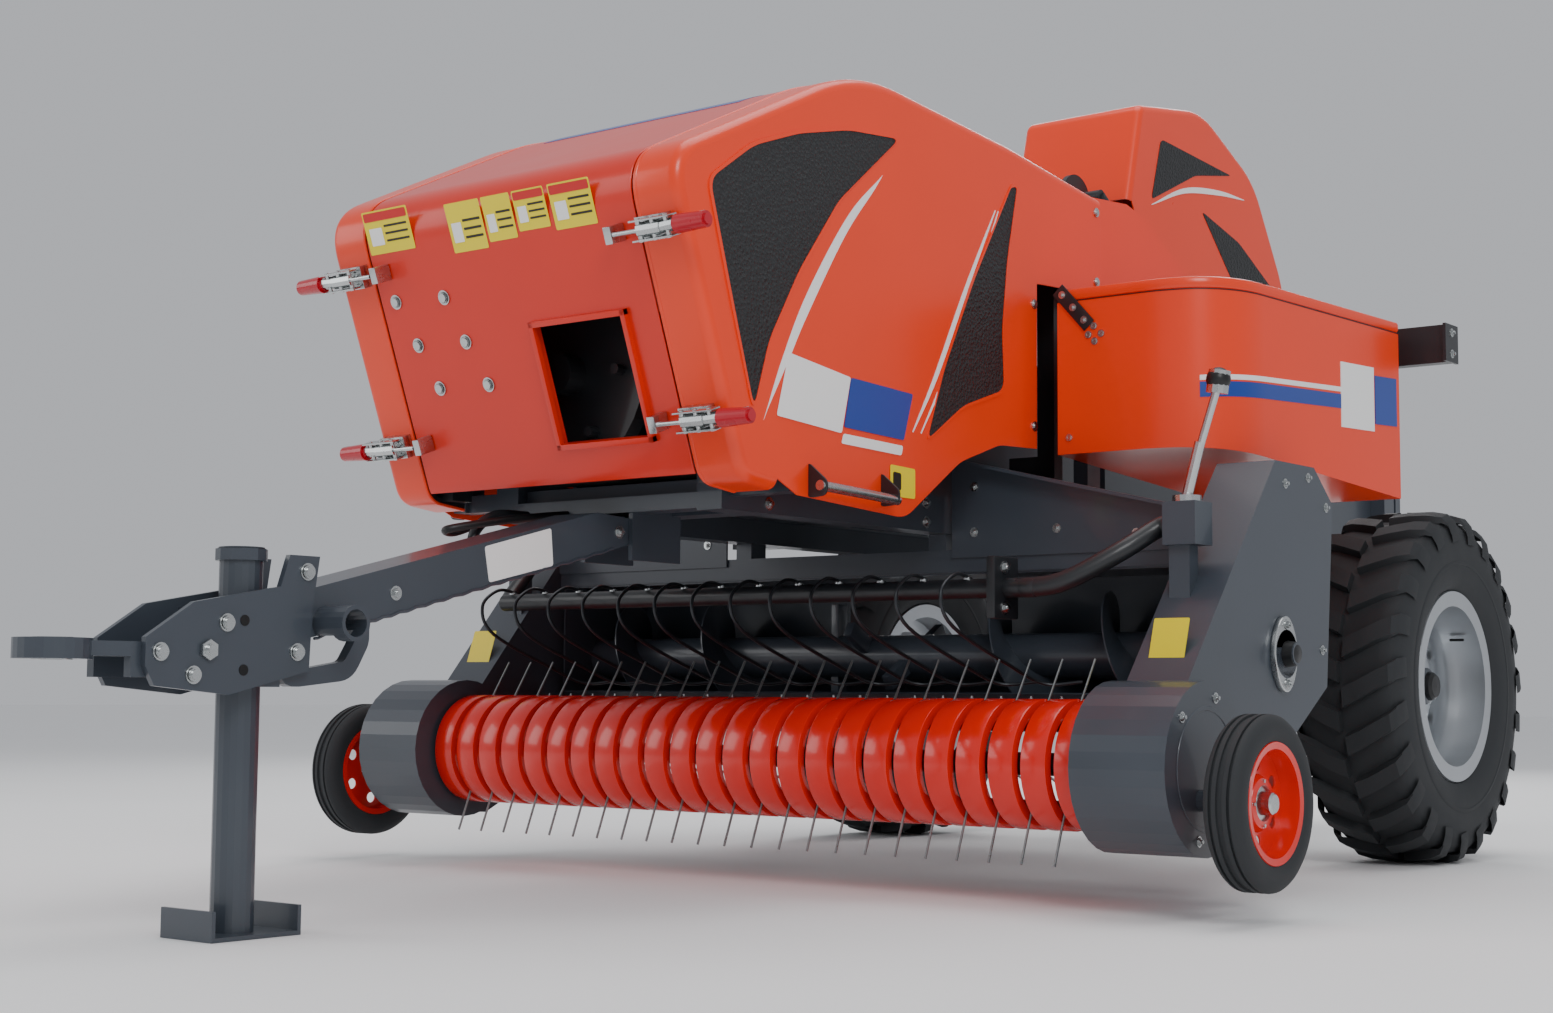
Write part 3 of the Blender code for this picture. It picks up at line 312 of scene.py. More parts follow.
def scatter(name, spots, proto, mat, body):
    """Copies of one mesh at (place, direction) spots, through Geometry Nodes."""
    source = bpy.data.objects.new("proto", proto)
    LOOKS.objects.link(source)
    mesh = bpy.data.meshes.new("spots")
    mesh.from_pydata([tuple(p) for p, _ in spots], [], [])
    turn = mesh.attributes.new("turn", "FLOAT_VECTOR", "POINT")
    for value, (_, d) in zip(turn.data, spots):
        value.vector = d if isinstance(d, Euler) else Vector(d).to_track_quat("Z", "Y").to_euler()
    obj = bpy.data.objects.new("spots", mesh)
    LOOKS.objects.link(obj)
    tree = bpy.data.node_groups.new(name, "GeometryNodeTree")
    tree.interface.new_socket("Geometry", in_out="INPUT", socket_type="NodeSocketGeometry")
    tree.interface.new_socket("Geometry", in_out="OUTPUT", socket_type="NodeSocketGeometry")
    new, link = tree.nodes.new, tree.links.new
    start, end = new("NodeGroupInput"), new("NodeGroupOutput")
    info, copies = new("GeometryNodeObjectInfo"), new("GeometryNodeInstanceOnPoints")
    info.inputs["Object"].default_value = source
    attribute = new("GeometryNodeInputNamedAttribute")
    attribute.data_type = "FLOAT_VECTOR"
    attribute.inputs["Name"].default_value = "turn"
    spin, real = new("FunctionNodeEulerToRotation"), new("GeometryNodeRealizeInstances")
    paint = new("GeometryNodeSetMaterial")
    paint.inputs["Material"].default_value = M[mat]
    link(start.outputs[0], copies.inputs["Points"])
    link(info.outputs["Geometry"], copies.inputs["Instance"])
    link(attribute.outputs["Attribute"], spin.inputs[0])
    link(spin.outputs[0], copies.inputs["Rotation"])
    link(copies.outputs["Instances"], real.inputs[0])
    link(real.outputs[0], paint.inputs["Geometry"])
    link(paint.outputs[0], end.inputs[0])
    obj.modifiers.new("copies", "NODES").node_group = tree
    result = evaluated(obj)
    bpy.data.objects.remove(source, do_unlink=True)
    make(name, result, mat, body)


def bolt(r=0.009, h=0.007):
    """A hexagon head on a washer, standing on the plane z = 0."""
    return merged([rod((0, 0, -0.001), (0, 0, 0.002), r * 1.45, 20),
                   rod((0, 0, 0.001), (0, 0, h), r, 6, bevel=0.0012),
                   rod((0, 0, h - 0.001), (0, 0, h + 0.004), r * 0.55, 12)])


def cap_head(r=0.012, h=0.010):
    """A round head on a washer, standing on the plane z = 0."""
    return merged([rod((0, 0, -0.001), (0, 0, 0.003), r * 1.5, 24),
                   rod((0, 0, 0.002), (0, 0, h), r * 1.15, 24, bevel=0.003)])


def label(at, across, up, width, height, mat, body, name, lift=0.0006, thick=0.0005, radius=0.004):
    """A thin decal on a plane through a point, spanned by across and up."""
    across, up = Vector(across).normalized(), Vector(up).normalized()
    out = across.cross(up)
    place = Matrix((across, up, out)).transposed().to_4x4()
    place.translation = Vector(at) + out * lift
    w, h = width / 2, height / 2
    outline = soft([(-w, -h), (w, -h), (w, h), (-w, h)], radius)
    make(name, plate([outline], "Z", 0, thick, place=place), mat, body)


def cad_finish(node, mat, bevel):
    """Keep a CAD node and give it its paint and broken edges."""
    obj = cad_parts[node]
    obj.data.materials.clear()
    obj.data.materials.append(M[mat])
    edge = obj.modifiers.new("broken edges", "BEVEL")
    edge.width, edge.segments, edge.limit_method = bevel, 2, "ANGLE"
    edge.angle_limit = math.radians(40)


def pos(x, y, z):
    """A point given from the axle, in the scene's frame."""
    return Vector((x, y + Y0, z))


def on_side(s, x, places):
    """Spots facing outward at (y, z) places on one side, this far from the middle."""
    return [(pos(s * x, y, z), (s, 0, 0)) for y, z in places]


def on_sides(x, places):
    places = list(places)
    return on_side(1, x, places) + on_side(-1, x, places)


def ring_spots(at, x, r, side, count, shift=0.0):
    """Spots facing out along X, evenly round a circle."""
    return [(Vector((at[0] + side * x, at[1] + r * math.cos(a), at[2] + r * math.sin(a))), (side, 0, 0))
            for a in (math.tau * (k + shift) / count for k in range(count))]


def recess(r):
    """A dark disc of painted shade that stands for a hole."""
    return rod((0, 0, -0.0005), (0, 0, 0.001), r, 24)


# ---- Wheels ----
CORE = 0.0005  # radius left open on a turned piece's axis
LUGS = 23


def circle(u, v, r, steps):
    return [(u + r * math.cos(math.tau * k / steps), v + r * math.sin(math.tau * k / steps)) for k in range(steps)]


def tyre_size(node):
    """Centre, radius and width of a CAD tyre."""
    low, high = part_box(node)
    return centre(node), (high[2] - low[2]) / 2, high[0] - low[0]


def lug(half_width, stations, low):
    """A tread bar over the crown and shoulder: stations are (x, radius, lag)."""
    rows = []
    for k, (x, r, lag) in enumerate(stations):
        w = half_width * (1.0 - 0.18 * k / (len(stations) - 1))
        base = min(r - 0.004, low)
        rows.append([(x, lag - w - 0.004, base), (x, lag - w, r), (x, lag + w, r), (x, lag + w + 0.004, base)])
    return mesh_of(loft(rows))


def mirrored(mesh):
    out = mesh.copy()
    out.transform(Matrix.Scale(-1, 4, (1, 0, 0)))
    out.flip_normals()
    return out


def disc_with_holes(at, x0, x1, r, holes, hole_r, ring_r, side):
    outlines = [circle(at[1], at[2], r, 96)]
    for h in range(holes):
        a = math.tau * (h + 0.5) / holes
        outlines.append(circle(at[1] + ring_r * math.cos(a), at[2] + ring_r * math.sin(a), hole_r, 24))
    low, high = sorted((at[0] + side * x0, at[0] + side * x1))
    return plate(outlines, "X", low, high, bevel=0.0012)


def main_wheel(word, side):
    tyre, rim, body = "tyre_" + word, "rim_" + word, "wheel_" + word
    at, r, w = tyre_size(tyre)
    rim_r, bead, lip_r = 0.2286, 0.115, 0.262
    half = [(bead, rim_r + 0.0004), (bead + 0.002, lip_r), (bead + 0.014, 0.272), (w * 0.47, 0.300),
            (w * 0.488, 0.330), (w * 0.488, 0.334), (w * 0.494, 0.336), (w * 0.494, 0.343),
            (w * 0.489, 0.345), (w * 0.498, 0.372), (w * 0.480, 0.405), (w * 0.455, 0.435),
            (w * 0.41, r - 0.034), (w * 0.30, r - 0.026), (w * 0.15, r - 0.023)]
    profile = half + [(0, r - 0.022)] + [(-x, y) for x, y in reversed(half)]
    make(tyre + "_skin", turned(profile, at, side, 128), "rubber", body, (tyre,), 40)
    bar = lug(0.026, [(0.006, r - 0.0005, 0.0), (0.05, r - 0.001, 0.020), (0.095, r - 0.006, 0.045),
                      (w * 0.43, r - 0.017, 0.062), (w * 0.475, r - 0.038, 0.072),
                      (w * 0.497, r - 0.066, 0.074), (w * 0.499, r - 0.088, 0.074)], r - 0.032)
    for name, mesh, shift in (("a", bar, 0.0), ("b", mirrored(bar), 0.5)):
        spots = [(at, Euler((math.tau * (k + shift) / LUGS, 0, 0))) for k in range(LUGS)]
        scatter(tyre + "_lugs_" + name, spots, mesh, "rubber", body)
    barrel = [(bead + 0.010, rim_r - 0.008), (bead + 0.012, lip_r), (bead + 0.006, 0.264), (bead + 0.001, 0.261),
              (bead, rim_r), (0.05, rim_r - 0.001), (0.03, rim_r - 0.012), (-0.03, rim_r - 0.012),
              (-0.05, rim_r - 0.001), (-bead, rim_r), (-bead - 0.001, 0.261), (-bead - 0.006, 0.264),
              (-bead - 0.012, lip_r), (-bead - 0.010, rim_r - 0.008), (-0.045, rim_r - 0.010),
              (-0.028, rim_r - 0.020), (0.028, rim_r - 0.020), (0.045, rim_r - 0.010)]
    make(rim + "_barrel", turned(barrel, at, side, 128), "silver", body, (rim,), 35)
    dish = [(0.004, 0.126), (0.000, 0.140), (-0.040, 0.178), (-0.046, rim_r - 0.014), (-0.052, rim_r - 0.014),
            (-0.046, 0.174), (-0.006, 0.138), (-0.002, 0.126)]
    make(rim + "_dish", turned(dish, at, side, 96), "silver", body, (), 35)
    make(rim + "_disc", disc_with_holes(at, -0.002, 0.004, 0.128, 8, 0.0001, 0.100, side), "silver", body)
    hub = [(0.050, CORE), (0.050, 0.044), (0.046, 0.050), (0.014, 0.055), (0.012, 0.072), (0.003, 0.072),
           (-0.109, 0.069), (-0.109, CORE)]
    make(rim + "_hub", turned(hub, at, side, 64), "grey", body, (), 35)
    cap = [(0.072, CORE), (0.070, 0.030), (0.062, 0.038), (0.049, 0.040), (0.049, CORE)]
    make(rim + "_cap", turned(cap, at, side, 48), "plastic", body, (), 35)
    scatter(rim + "_nuts", ring_spots(at, 0.004, 0.092, side, 6), bolt(0.012, 0.014), "zinc", body)
    # The rim's slots are dark discs of painted shade, not cut through
    scatter(rim + "_slots", ring_spots(at, -0.0415, 0.192, side, 8, 0.5), recess(0.011), "hole_shade", body)
    a = math.radians(40)
    place = (at[0] + side * 0.05, at[1] + 0.205 * math.cos(a), at[2] + 0.205 * math.sin(a))
    valve = rod(place, (place[0] + side * 0.04, place[1], place[2]), 0.004, 12)
    make(rim + "_valve", valve, "plastic", body)


def gauge_wheel(word, side):
    tyre, rim, body = "gauge_tyre_" + word, "gauge_rim_" + word, "gauge_wheel_" + word
    at, r, w = tyre_size(tyre)
    half = [(0.034, 0.1154), (0.036, 0.124), (w * 0.49, 0.134), (w * 0.5, 0.146), (w * 0.485, 0.160),
            (w * 0.40, r - 0.006), (w * 0.33, r - 0.001), (w * 0.27, r), (w * 0.26, r - 0.005),
            (w * 0.20, r - 0.005), (w * 0.19, r), (w * 0.08, r), (w * 0.07, r - 0.005), (0, r - 0.005)]
    profile = half + [(-x, y) for x, y in reversed(half[:-1])]
    make(tyre + "_skin", turned(profile, at, side, 96), "rubber", body, (tyre,), 35)
    barrel = [(0.036, 0.108), (0.038, 0.122), (0.034, 0.124), (0.033, 0.1152), (-0.033, 0.1152),
              (-0.034, 0.124), (-0.038, 0.122), (-0.036, 0.108)]
    make(rim + "_barrel", turned(barrel, at, side, 96), "band", body, (rim,), 35)
    make(rim + "_disc", disc_with_holes(at, -0.010, -0.005, 0.112, 6, 0.014, 0.078, side), "band", body)
    dome = [(0.010, 0.036), (0.008, 0.050), (-0.004, 0.058), (-0.006, 0.052), (0.004, 0.046), (0.004, 0.036)]
    make(rim + "_dome", turned(dome, at, side, 64), "band", body, (), 35)
    hub = [(0.034, CORE), (0.034, 0.018), (0.030, 0.022), (0.006, 0.024), (0.004, 0.037), (-0.010, 0.037),
           (-0.044, 0.030), (-0.044, CORE)]
    make(rim + "_hub", turned(hub, at, side, 48), "zinc", body, (), 35)
    scatter(rim + "_bolts", ring_spots(at, -0.0005, 0.044, side, 4), bolt(0.0065, 0.009), "zinc", body)


# ---- Pickup ----
BANDS, BAND_REACH, FILL = 24, 0.971, 0.77
PITCH = 2 * BAND_REACH / (BANDS - 1 + FILL)
REEL, AUGER = (-1.817, 0.302), (-1.33, 0.547)
WIRES = 13


def arc(y, z, r, start, end, steps):
    return [(y + r * math.cos(math.radians(start + (end - start) * k / steps)),
             z + r * math.sin(math.radians(start + (end - start) * k / steps))) for k in range(steps + 1)]


def bands():
    line = [(-1.585, 0.175)] + arc(*REEL, 0.141, -92, -268, 28) + [(-1.640, 0.4415), (-1.545, 0.439)]
    line = [(y + Y0, z) for y, z in line]
    meshes, spots = [], []
    t, deep = 0.003, 0.022
    for k in range(BANDS):
        x0 = -BAND_REACH + k * PITCH
        x1 = x0 + PITCH * FILL
        section = [(x0, -deep), (x0, -0.004), (x0 + 0.0012, -0.0012), (x0 + 0.004, 0), (x1 - 0.004, 0),
                   (x1 - 0.0012, -0.0012), (x1, -0.004), (x1, -deep), (x1 - t, -deep), (x1 - t, -t),
                   (x0 + t, -t), (x0 + t, -deep)]
        meshes.append(sweep(section, line))
        spots.append((pos((x0 + x1) / 2, -1.566, 0.4395), (0, 0.02, 1)))
    make("band_channels", merged(meshes), "band", "pickup", ("stripper_bands",), 40)
    bars = [block((-0.979, 0.979), (y - 0.02 + Y0, y + 0.02 + Y0), (z - 0.015, z + 0.015), 0.003)
            for y, z in ((-1.560, 0.421), (-1.580, 0.165))]
    make("band_rails", merged(bars), "grey", "pickup")
    scatter("band_bolts", spots, bolt(0.006, 0.005), "zinc", "pickup")


def reel():
    bar_r, tip_r, coil_r = 0.098, 0.238, 0.016
    pieces = [rod(pos(-0.978, *REEL), pos(0.978, *REEL), 0.025, 32)]
    for n, (bar_at, lean) in enumerate(((-118, -118), (2, -30), (122, 52))):
        a, b = math.radians(bar_at), math.radians(lean)
        y, z = REEL[0] + bar_r * math.cos(a), REEL[1] + bar_r * math.sin(a)
        pieces.append(rod(pos(-0.972, y, z), pos(0.972, y, z), 0.0125, 20))
        d = (math.cos(b), math.sin(b))
        half = bar_r * (math.cos(a) * d[0] + math.sin(a) * d[1])
        reach = -half + math.sqrt(half * half + tip_r ** 2 - bar_r ** 2)
        for x in (-0.958, 0.0, 0.958):
            turn = Matrix.Translation(pos(0, *REEL)) @ Matrix.Rotation(a - math.pi / 2, 4, "X")
            pieces.append(block((x - 0.004, x + 0.004), (-0.017, 0.017), (0.0, 0.106), 0.001, turn))
        coil = []
        for t in range(25, -1, -1):
            c = b - math.pi / 2 - math.tau * t / 12
            coil.append(pos(-0.006 + 0.0055 * t / 12, y + coil_r * math.cos(c), z + coil_r * math.sin(c)))
        start = coil[-1]
        shank = [pos(start.x, y + d[0] * reach * f + (start.y - Y0 - y) * (1 - f),
                     z + d[1] * reach * f + (start.z - z) * (1 - f)) for f in (0.25, 0.6, 0.985)]
        spots = [(Vector((-BAND_REACH + k * PITCH + PITCH * (1 + FILL) / 2, 0, 0)), Euler((0, 0, 0)))
                 for k in range(BANDS - 1)]
        scatter("tines_%d" % n, spots, tube(coil + shank, 0.0029, 2), "steel", "tine_reel")
    make("reel_bars", merged(pieces), "dark", "tine_reel", ("tine_reel",))


def windguard():
    y, z, r = -1.75, 0.690, 0.0225
    path = [(-0.93, y, z), (0.60, y, z), (0.70, y, z), (0.80, y + 0.01, z + 0.01), (0.90, y + 0.07, z + 0.07),
            (0.955, -1.615, 0.812), (0.975, -1.60, 0.825), (0.994, -1.60, 0.825)]
    left = tube(smooth_path([pos(*p) for p in path], 8), r, 6)
    path = [(-0.90, y, z), (-0.935, y + 0.015, z + 0.008), (-0.955, -1.65, 0.77), (-0.965, -1.60, 0.822),
            (-0.994, -1.60, 0.825)]
    right = tube(smooth_path([pos(*p) for p in path], 8), r * 0.9, 6)
    lug_plate = block((0.640, 0.664), (y - 0.05 + Y0, y + 0.05 + Y0), (z - 0.07, z + 0.07), 0.006)
    end = rod(pos(-0.932, y, z), pos(-0.926, y, z), 0.0215, 32)
    make("guard_tube", merged([left, right, lug_plate, end]), "dark", "windguard", ("windguard",))
    path = [(0.0, y + 0.020, z + 0.004), (0.0, y + 0.010, z + r + 0.001), (0.004, y - 0.06, z + 0.030),
            (0.007, y - 0.12, z - 0.015), (0.016, y - 0.085, z - 0.088), (0.050, y + 0.105, z - 0.175),
            (0.090, y + 0.185, z - 0.213), (0.165, y + 0.225, z - 0.208)]
    wire = tube(smooth_path([pos(*p) for p in path], 7), 0.0044, 2)
    places = [-0.90 + k * 1.46 / (WIRES - 1) for k in range(WIRES)]
    scatter("guard_wires", [(Vector((x, 0, 0)), Euler((0, 0, 0))) for x in places], wire, "wire", "windguard")
    spots = [(pos(x, y, z + r - 0.001), (0, 0, 1)) for x in places]
    scatter("guard_saddles", spots, cap_head(0.007, 0.006), "zinc", "windguard")
    spots = on_side(1, 0.665, [(y - 0.01, z - 0.045), (y - 0.01, z + 0.045)])
    scatter("guard_lug_bolts", spots, bolt(0.010, 0.008), "zinc", "windguard")


def auger():
    y, z = AUGER
    pieces = [rod(pos(-0.955, y, z), pos(0.955, y, z), 0.055, 40)]
    inner, outer, half = 0.050, 0.152, 0.002
    for s in (1, -1):
        rows = []
        for k in range(97):
            a, x = math.tau * 2.0 * k / 96, s * (0.30 + 0.62 * k / 96)
            rows.append([pos(x + dx, y + q * math.cos(a), z + s * q * math.sin(a))
                         for q, dx in ((inner, -half), (outer, -half), (outer, half), (inner, half))])
        pieces.append(mesh_of(loft(rows)))
    for k in range(3):
        turn = Matrix.Translation(pos(0.12 * (k - 1), y, z)) @ Matrix.Rotation(math.tau * k / 6, 4, "X")
        pieces.append(block((-0.012, 0.012), (-0.02, 0.02), (-0.138, 0.138), 0.003, turn))
    make("auger_screw", merged(pieces), "grey", "auger", ("auger",))


def pickup_details(word, s):
    body, face, cap = "pickup", 1.125, 1.200
    y, z = AUGER
    spots = on_side(s, face, ((-1.30, 0.935), (-1.18, 0.958), (-1.085, 0.895), (-1.115, 0.56), (-1.80, 0.185)))
    scatter("case_bolts_" + word, spots, bolt(0.008, 0.006), "zinc", body)
    flange = [(y + Y0 + 0.058 * math.cos(t), z + 0.086 * math.sin(t) * (0.74 + 0.26 * abs(math.sin(t))))
              for t in (math.tau * k / 64 for k in range(64))]
    low, high = sorted((s * face, s * (face + 0.014)))
    make("bearing_flange_" + word, plate([flange], "X", low, high, 0.003), "zinc", body)
    profile = [(0.0415, CORE), (0.0405, 0.020), (0.036, 0.027), (0.0145, 0.030), (0.0145, CORE)]
    make("bearing_cap_" + word, turned(profile, pos(s * face, y, z), s, 48), "plastic", body)
    spots = on_side(s, face + 0.014, ((y, z - 0.066), (y, z + 0.066)))
    scatter("bearing_bolts_" + word, spots, bolt(0.008, 0.007), "zinc", body)
    drum = pos(s * cap, -1.837, 0.302)
    spots = ring_spots(drum, 0.0, 0.150, s, 6, 0.25)
    del spots[3]  # none at the drum's very front
    scatter("drum_bolts_" + word, spots, bolt(0.008, 0.006), "zinc", body)
    profile = [(0.0015, 0.120), (0.0015, 0.128), (-0.001, 0.130), (-0.001, 0.118)]
    make("drum_bead_" + word, turned(profile, drum, s, 96), "grey", body)


# ---- Hood ----
SEAM, HALF, SKIN = 0.400, 0.520, 0.004
NOSE_FOOT, NOSE_TOP = (-2.508, 0.880), (-2.745, 1.512)
FACE_UP = (Vector((0, *NOSE_TOP)) - Vector((0, *NOSE_FOOT))).normalized()
FACE_OUT = Vector((0, -FACE_UP.z, FACE_UP.y))


def hood_line(steps=22):
    points = [(-2.40, 0.868), NOSE_FOOT, NOSE_TOP, (-2.12, 1.818), (-1.50, 1.772), (-1.075, 1.722)]
    line = rounded(points, [0.06, 0.11, 0.60, 1.2], steps)
    out = [line[0]]
    for p in line[1:]:
        if (Vector(p) - Vector(out[-1])).length > 0.004:
            out.append(p)
    return [(y + Y0, z) for y, z in out]


def inset(line, d):
    return [(y - n.x * d, z - n.y * d) for (y, z), n in zip(line, normals(line))]


def rolled(s, x0, x1, r, t):
    """Section of a sheet that rolls over from a strip into its side, as (x, outward) points."""
    turns = [math.pi / 2 * k / 8 for k in range(9)]
    outer = [(x0, 0.0)] + [(x1 - r + r * math.sin(a), -r + r * math.cos(a)) for a in turns]
    inner = [(x1 - r + (r - t) * math.sin(a), -r + (r - t) * math.cos(a)) for a in turns[::-1]]
    return [(s * x, d) for x, d in outer + inner + [(x0, -t)]]


def hood():
    line = hood_line()
    x = SEAM - 0.003
    section = [(-x, -SKIN), (-x, -0.0012), (-x + 0.0012, 0), (x - 0.0012, 0), (x, -0.0012), (x, -SKIN)]
    foot = next(i for i, (y, z) in enumerate(line) if y < Y0 - 2.512)
    window = block((0.055, 0.305), (Y0 - 2.85, Y0 - 2.45), (0.98, 1.22), 0)
    lid = evaluated_cut(sweep(section, line[foot:]), window)
    make("lid_skin", lid, "hood_red", "hood_lid", ("hood_lid",), 30)
    for word, s in SIDES:
        body = "hood_side_" + word
        strip = sweep(rolled(s, SEAM + 0.003, HALF, 0.024, SKIN), line)
        arch = rounded([(-2.33, 0.862), (-1.94, 0.840), (-1.72, 0.985), (-1.553, 1.040), (-1.387, 1.046)],
                       [0.10, 0.20, 0.15], 14)
        rest = [(-1.385, 1.452), (-1.075, 1.470)]
        outline = inset(line, 0.0235) + [(y + Y0, z) for y, z in rest[::-1] + arch[::-1]]
        low, high = sorted((s * (HALF - SKIN), s * HALF))
        panel = plate([outline], "X", low, high, 0.0008)
        roll = [(0.004, -0.0005), (0.006, 0.0017), (0.011, 0.0017), (0.013, -0.0005)]
        bead = sweep([(s * (SEAM + x), d) for x, d in roll], line)
        make("cover_" + word, merged([strip, panel, bead]), "orange", body, (body,), 30)
        grip = rod(pos(s * (HALF + 0.036), -2.30, 0.883), pos(s * (HALF + 0.036), -2.02, 0.872), 0.0110, 24)
        make("cover_handle_" + word, grip, "zinc", body)
        for n, y in enumerate((-2.29, -2.03)):
            ear = soft([(s * (HALF + x), z) for x, z in ((-0.002, 0.858), (0.046, 0.862), (0.050, 0.892),
                                                         (-0.002, 0.935))], 0.012)
            mesh = plate([ear], "Y", y + Y0 - 0.003, y + Y0 + 0.003, 0.0008)
            make("handle_ear_%s_%d" % (word, n), mesh, "dark", body)


def evaluated_cut(mesh, cutter):
    a = bpy.data.objects.new("cut", mesh)
    b = bpy.data.objects.new("cutter", cutter)
    for obj in (a, b):
        LOOKS.objects.link(obj)
    modifier = a.modifiers.new("window", "BOOLEAN")
    modifier.operation, modifier.object, modifier.solver = "DIFFERENCE", b, "EXACT"
    out = evaluated(a)
    bpy.data.objects.remove(b, do_unlink=True)
    return out


def flat(name, outline, s, x, mat, body, lift=0.0008, thick=0.0006):
    """A thin outline in Y and Z laid on a side face."""
    low, high = sorted((s * (x + lift - 0.0004), s * (x + lift + thick)))
    make(name, plate([[(y + Y0, z) for y, z in outline]], "X", low, high), mat, body)


def quad(a, b, c, d):
    return soft([a, b, c, d], 0.006)


def ribbon_shape(line, widths):
    pts = [Vector(p) for p in smooth2(line)]
    n = len(pts)
    wide = [widths[0] + (widths[1] - widths[0]) * math.sin(math.pi * k / (n - 1)) for k in range(n)]
    side = normals([tuple(p) for p in pts])
    return [tuple(p + m * w / 2) for p, m, w in zip(pts, side, wide)] + [
        tuple(p - m * w / 2) for p, m, w in reversed(list(zip(pts, side, wide)))]


def smooth2(points, steps=8):
    return [(p.y, p.z) for p in smooth_path([(0, a, b) for a, b in points], steps)]


GRILLE_1 = [(-2.622, 1.475), (-2.484, 1.571), (-2.334, 1.627), (-2.158, 1.671), (-1.970, 1.690), (-2.193, 1.510),
            (-2.331, 1.335), (-2.430, 1.174), (-2.477, 1.028), (-2.553, 1.259)]
GRILLE_2 = [(-1.478, 1.674), (-1.505, 1.669), (-1.667, 1.417), (-1.791, 1.190), (-1.859, 1.022), (-1.709, 1.118),
            (-1.538, 1.173), (-1.546, 1.316), (-1.523, 1.488)]
GRILLE_3 = [(-0.168, 2.128), (-0.232, 1.933), (0.053, 2.058), (0.300, 2.104)]
GRILLE_4 = [(0.096, 1.954), (0.351, 1.897), (0.590, 1.785), (0.319, 1.751)]


def hood_details(word, s):
    body = "hood_side_" + word
    for n, shape in enumerate((GRILLE_1, GRILLE_2)):
        inner = soft(shape, 0.03, 6)
        flat("grille_%d_%s" % (n + 1, word), inner, s, HALF, "mesh", body, 0.0008, 0.0010)
        middle = sum((Vector(p) for p in shape), Vector((0, 0))) / len(shape)
        outer = [Vector(p) + (Vector(p) - middle).normalized() * 0.009 for p in inner]
        low, high = sorted((s * (HALF + 0.0002), s * (HALF + 0.0030)))
        rim = plate([[(a + Y0, b) for a, b in edge] for edge in (outer, inner)], "X", low, high)
        make("grille_rim_%d_%s" % (n + 1, word), rim, "orange", body)
    outer = smooth2([(-2.031, 1.596), (-2.157, 1.484), (-2.297, 1.298), (-2.380, 1.150), (-2.444, 1.007)])
    inner = smooth2([(-2.432, 1.030), (-2.363, 1.141), (-2.300, 1.245), (-2.170, 1.435), (-2.060, 1.560)])
    flat("swoosh_1_" + word, outer + inner, s, HALF, "white", body)
    for n, shift in enumerate((0.0, 0.032)):
        line = [(-1.573 + shift * 0.4, 1.600), (-1.696 + shift, 1.395), (-1.820 + shift, 1.175),
                (-1.913 + shift, 1.035)]
        shape = ribbon_shape(line, (0.003, 0.015 - 0.006 * n))
        flat("swoosh_2%s_%s" % ("ab"[n], word), shape, s, HALF, "white", body)
    for name, mat, lift, *corners in (
            ("plate_white", "white", 0.0014, (-2.363, 1.157), (-2.147, 1.130), (-2.179, 1.006), (-2.402, 1.021)),
            ("plate_blue", "blue", 0.0014, (-2.145, 1.130), (-1.914, 1.120), (-1.949, 1.013), (-2.170, 1.020)),
            ("plate_foot", "white", 0.0014, (-2.172, 1.006), (-1.952, 1.000), (-1.958, 0.978), (-2.180, 0.984)),
            ("label_low", "yellow", 0.0014, (-2.000, 0.955), (-1.905, 0.952), (-1.905, 0.885), (-2.000, 0.885)),
            ("label_low_ink", "ink", 0.0022, (-1.990, 0.940), (-1.960, 0.938), (-1.960, 0.900), (-1.990, 0.900))):
        flat("%s_%s" % (name, word), quad(*corners), s, HALF, mat, body, lift)
    spots = on_side(s, HALF, ((-2.28, 0.905), (-1.40, 1.40), (-1.40, 1.10), (-1.10, 1.50), (-1.10, 1.68)))
    scatter("cover_bolts_" + word, spots, cap_head(0.008, 0.006), "zinc", body)


def on_nose(x, z, out=0.0):
    """A point on the hood's front face at this height."""
    return pos(x, *NOSE_FOOT) + FACE_UP * ((z - NOSE_FOOT[1]) / FACE_UP.z) + FACE_OUT * out


def nose_axes(x, z, out=0.0):
    """The front face's own axes, standing at a point of it."""
    axes = Matrix((Vector((1, 0, 0)), FACE_UP, FACE_OUT)).transposed().to_4x4()
    axes.translation = on_nose(x, z, out)
    return axes


def nose_label(name, x0, x1, z0, z1, header=None):
    mid = on_nose((x0 + x1) / 2, (z0 + z1) / 2)
    wide, tall = x1 - x0, (z1 - z0) / FACE_UP.z

    def mark(part, mat, dx, up, width, height, *sizes):
        at = mid + FACE_UP * tall * up + Vector((wide * dx, 0, 0))
        label(at, (1, 0, 0), FACE_UP, wide * width, tall * height, mat, "hood_lid", name + part, *sizes)

    mark("", "yellow", 0, 0, 1, 1)
    if header:
        mark("_header", header, 0, 0.36, 0.94, 0.2, 0.0014)
    for n in range(3):
        mark("_line_%d" % n, "ink", 0.18, 0.12 - 0.17 * n, 0.5, 0.05, 0.0014, 0.0004, 0.001)
    mark("_panel", "white", -0.27, -0.1, 0.28, 0.4, 0.0014, 0.0004, 0.002)


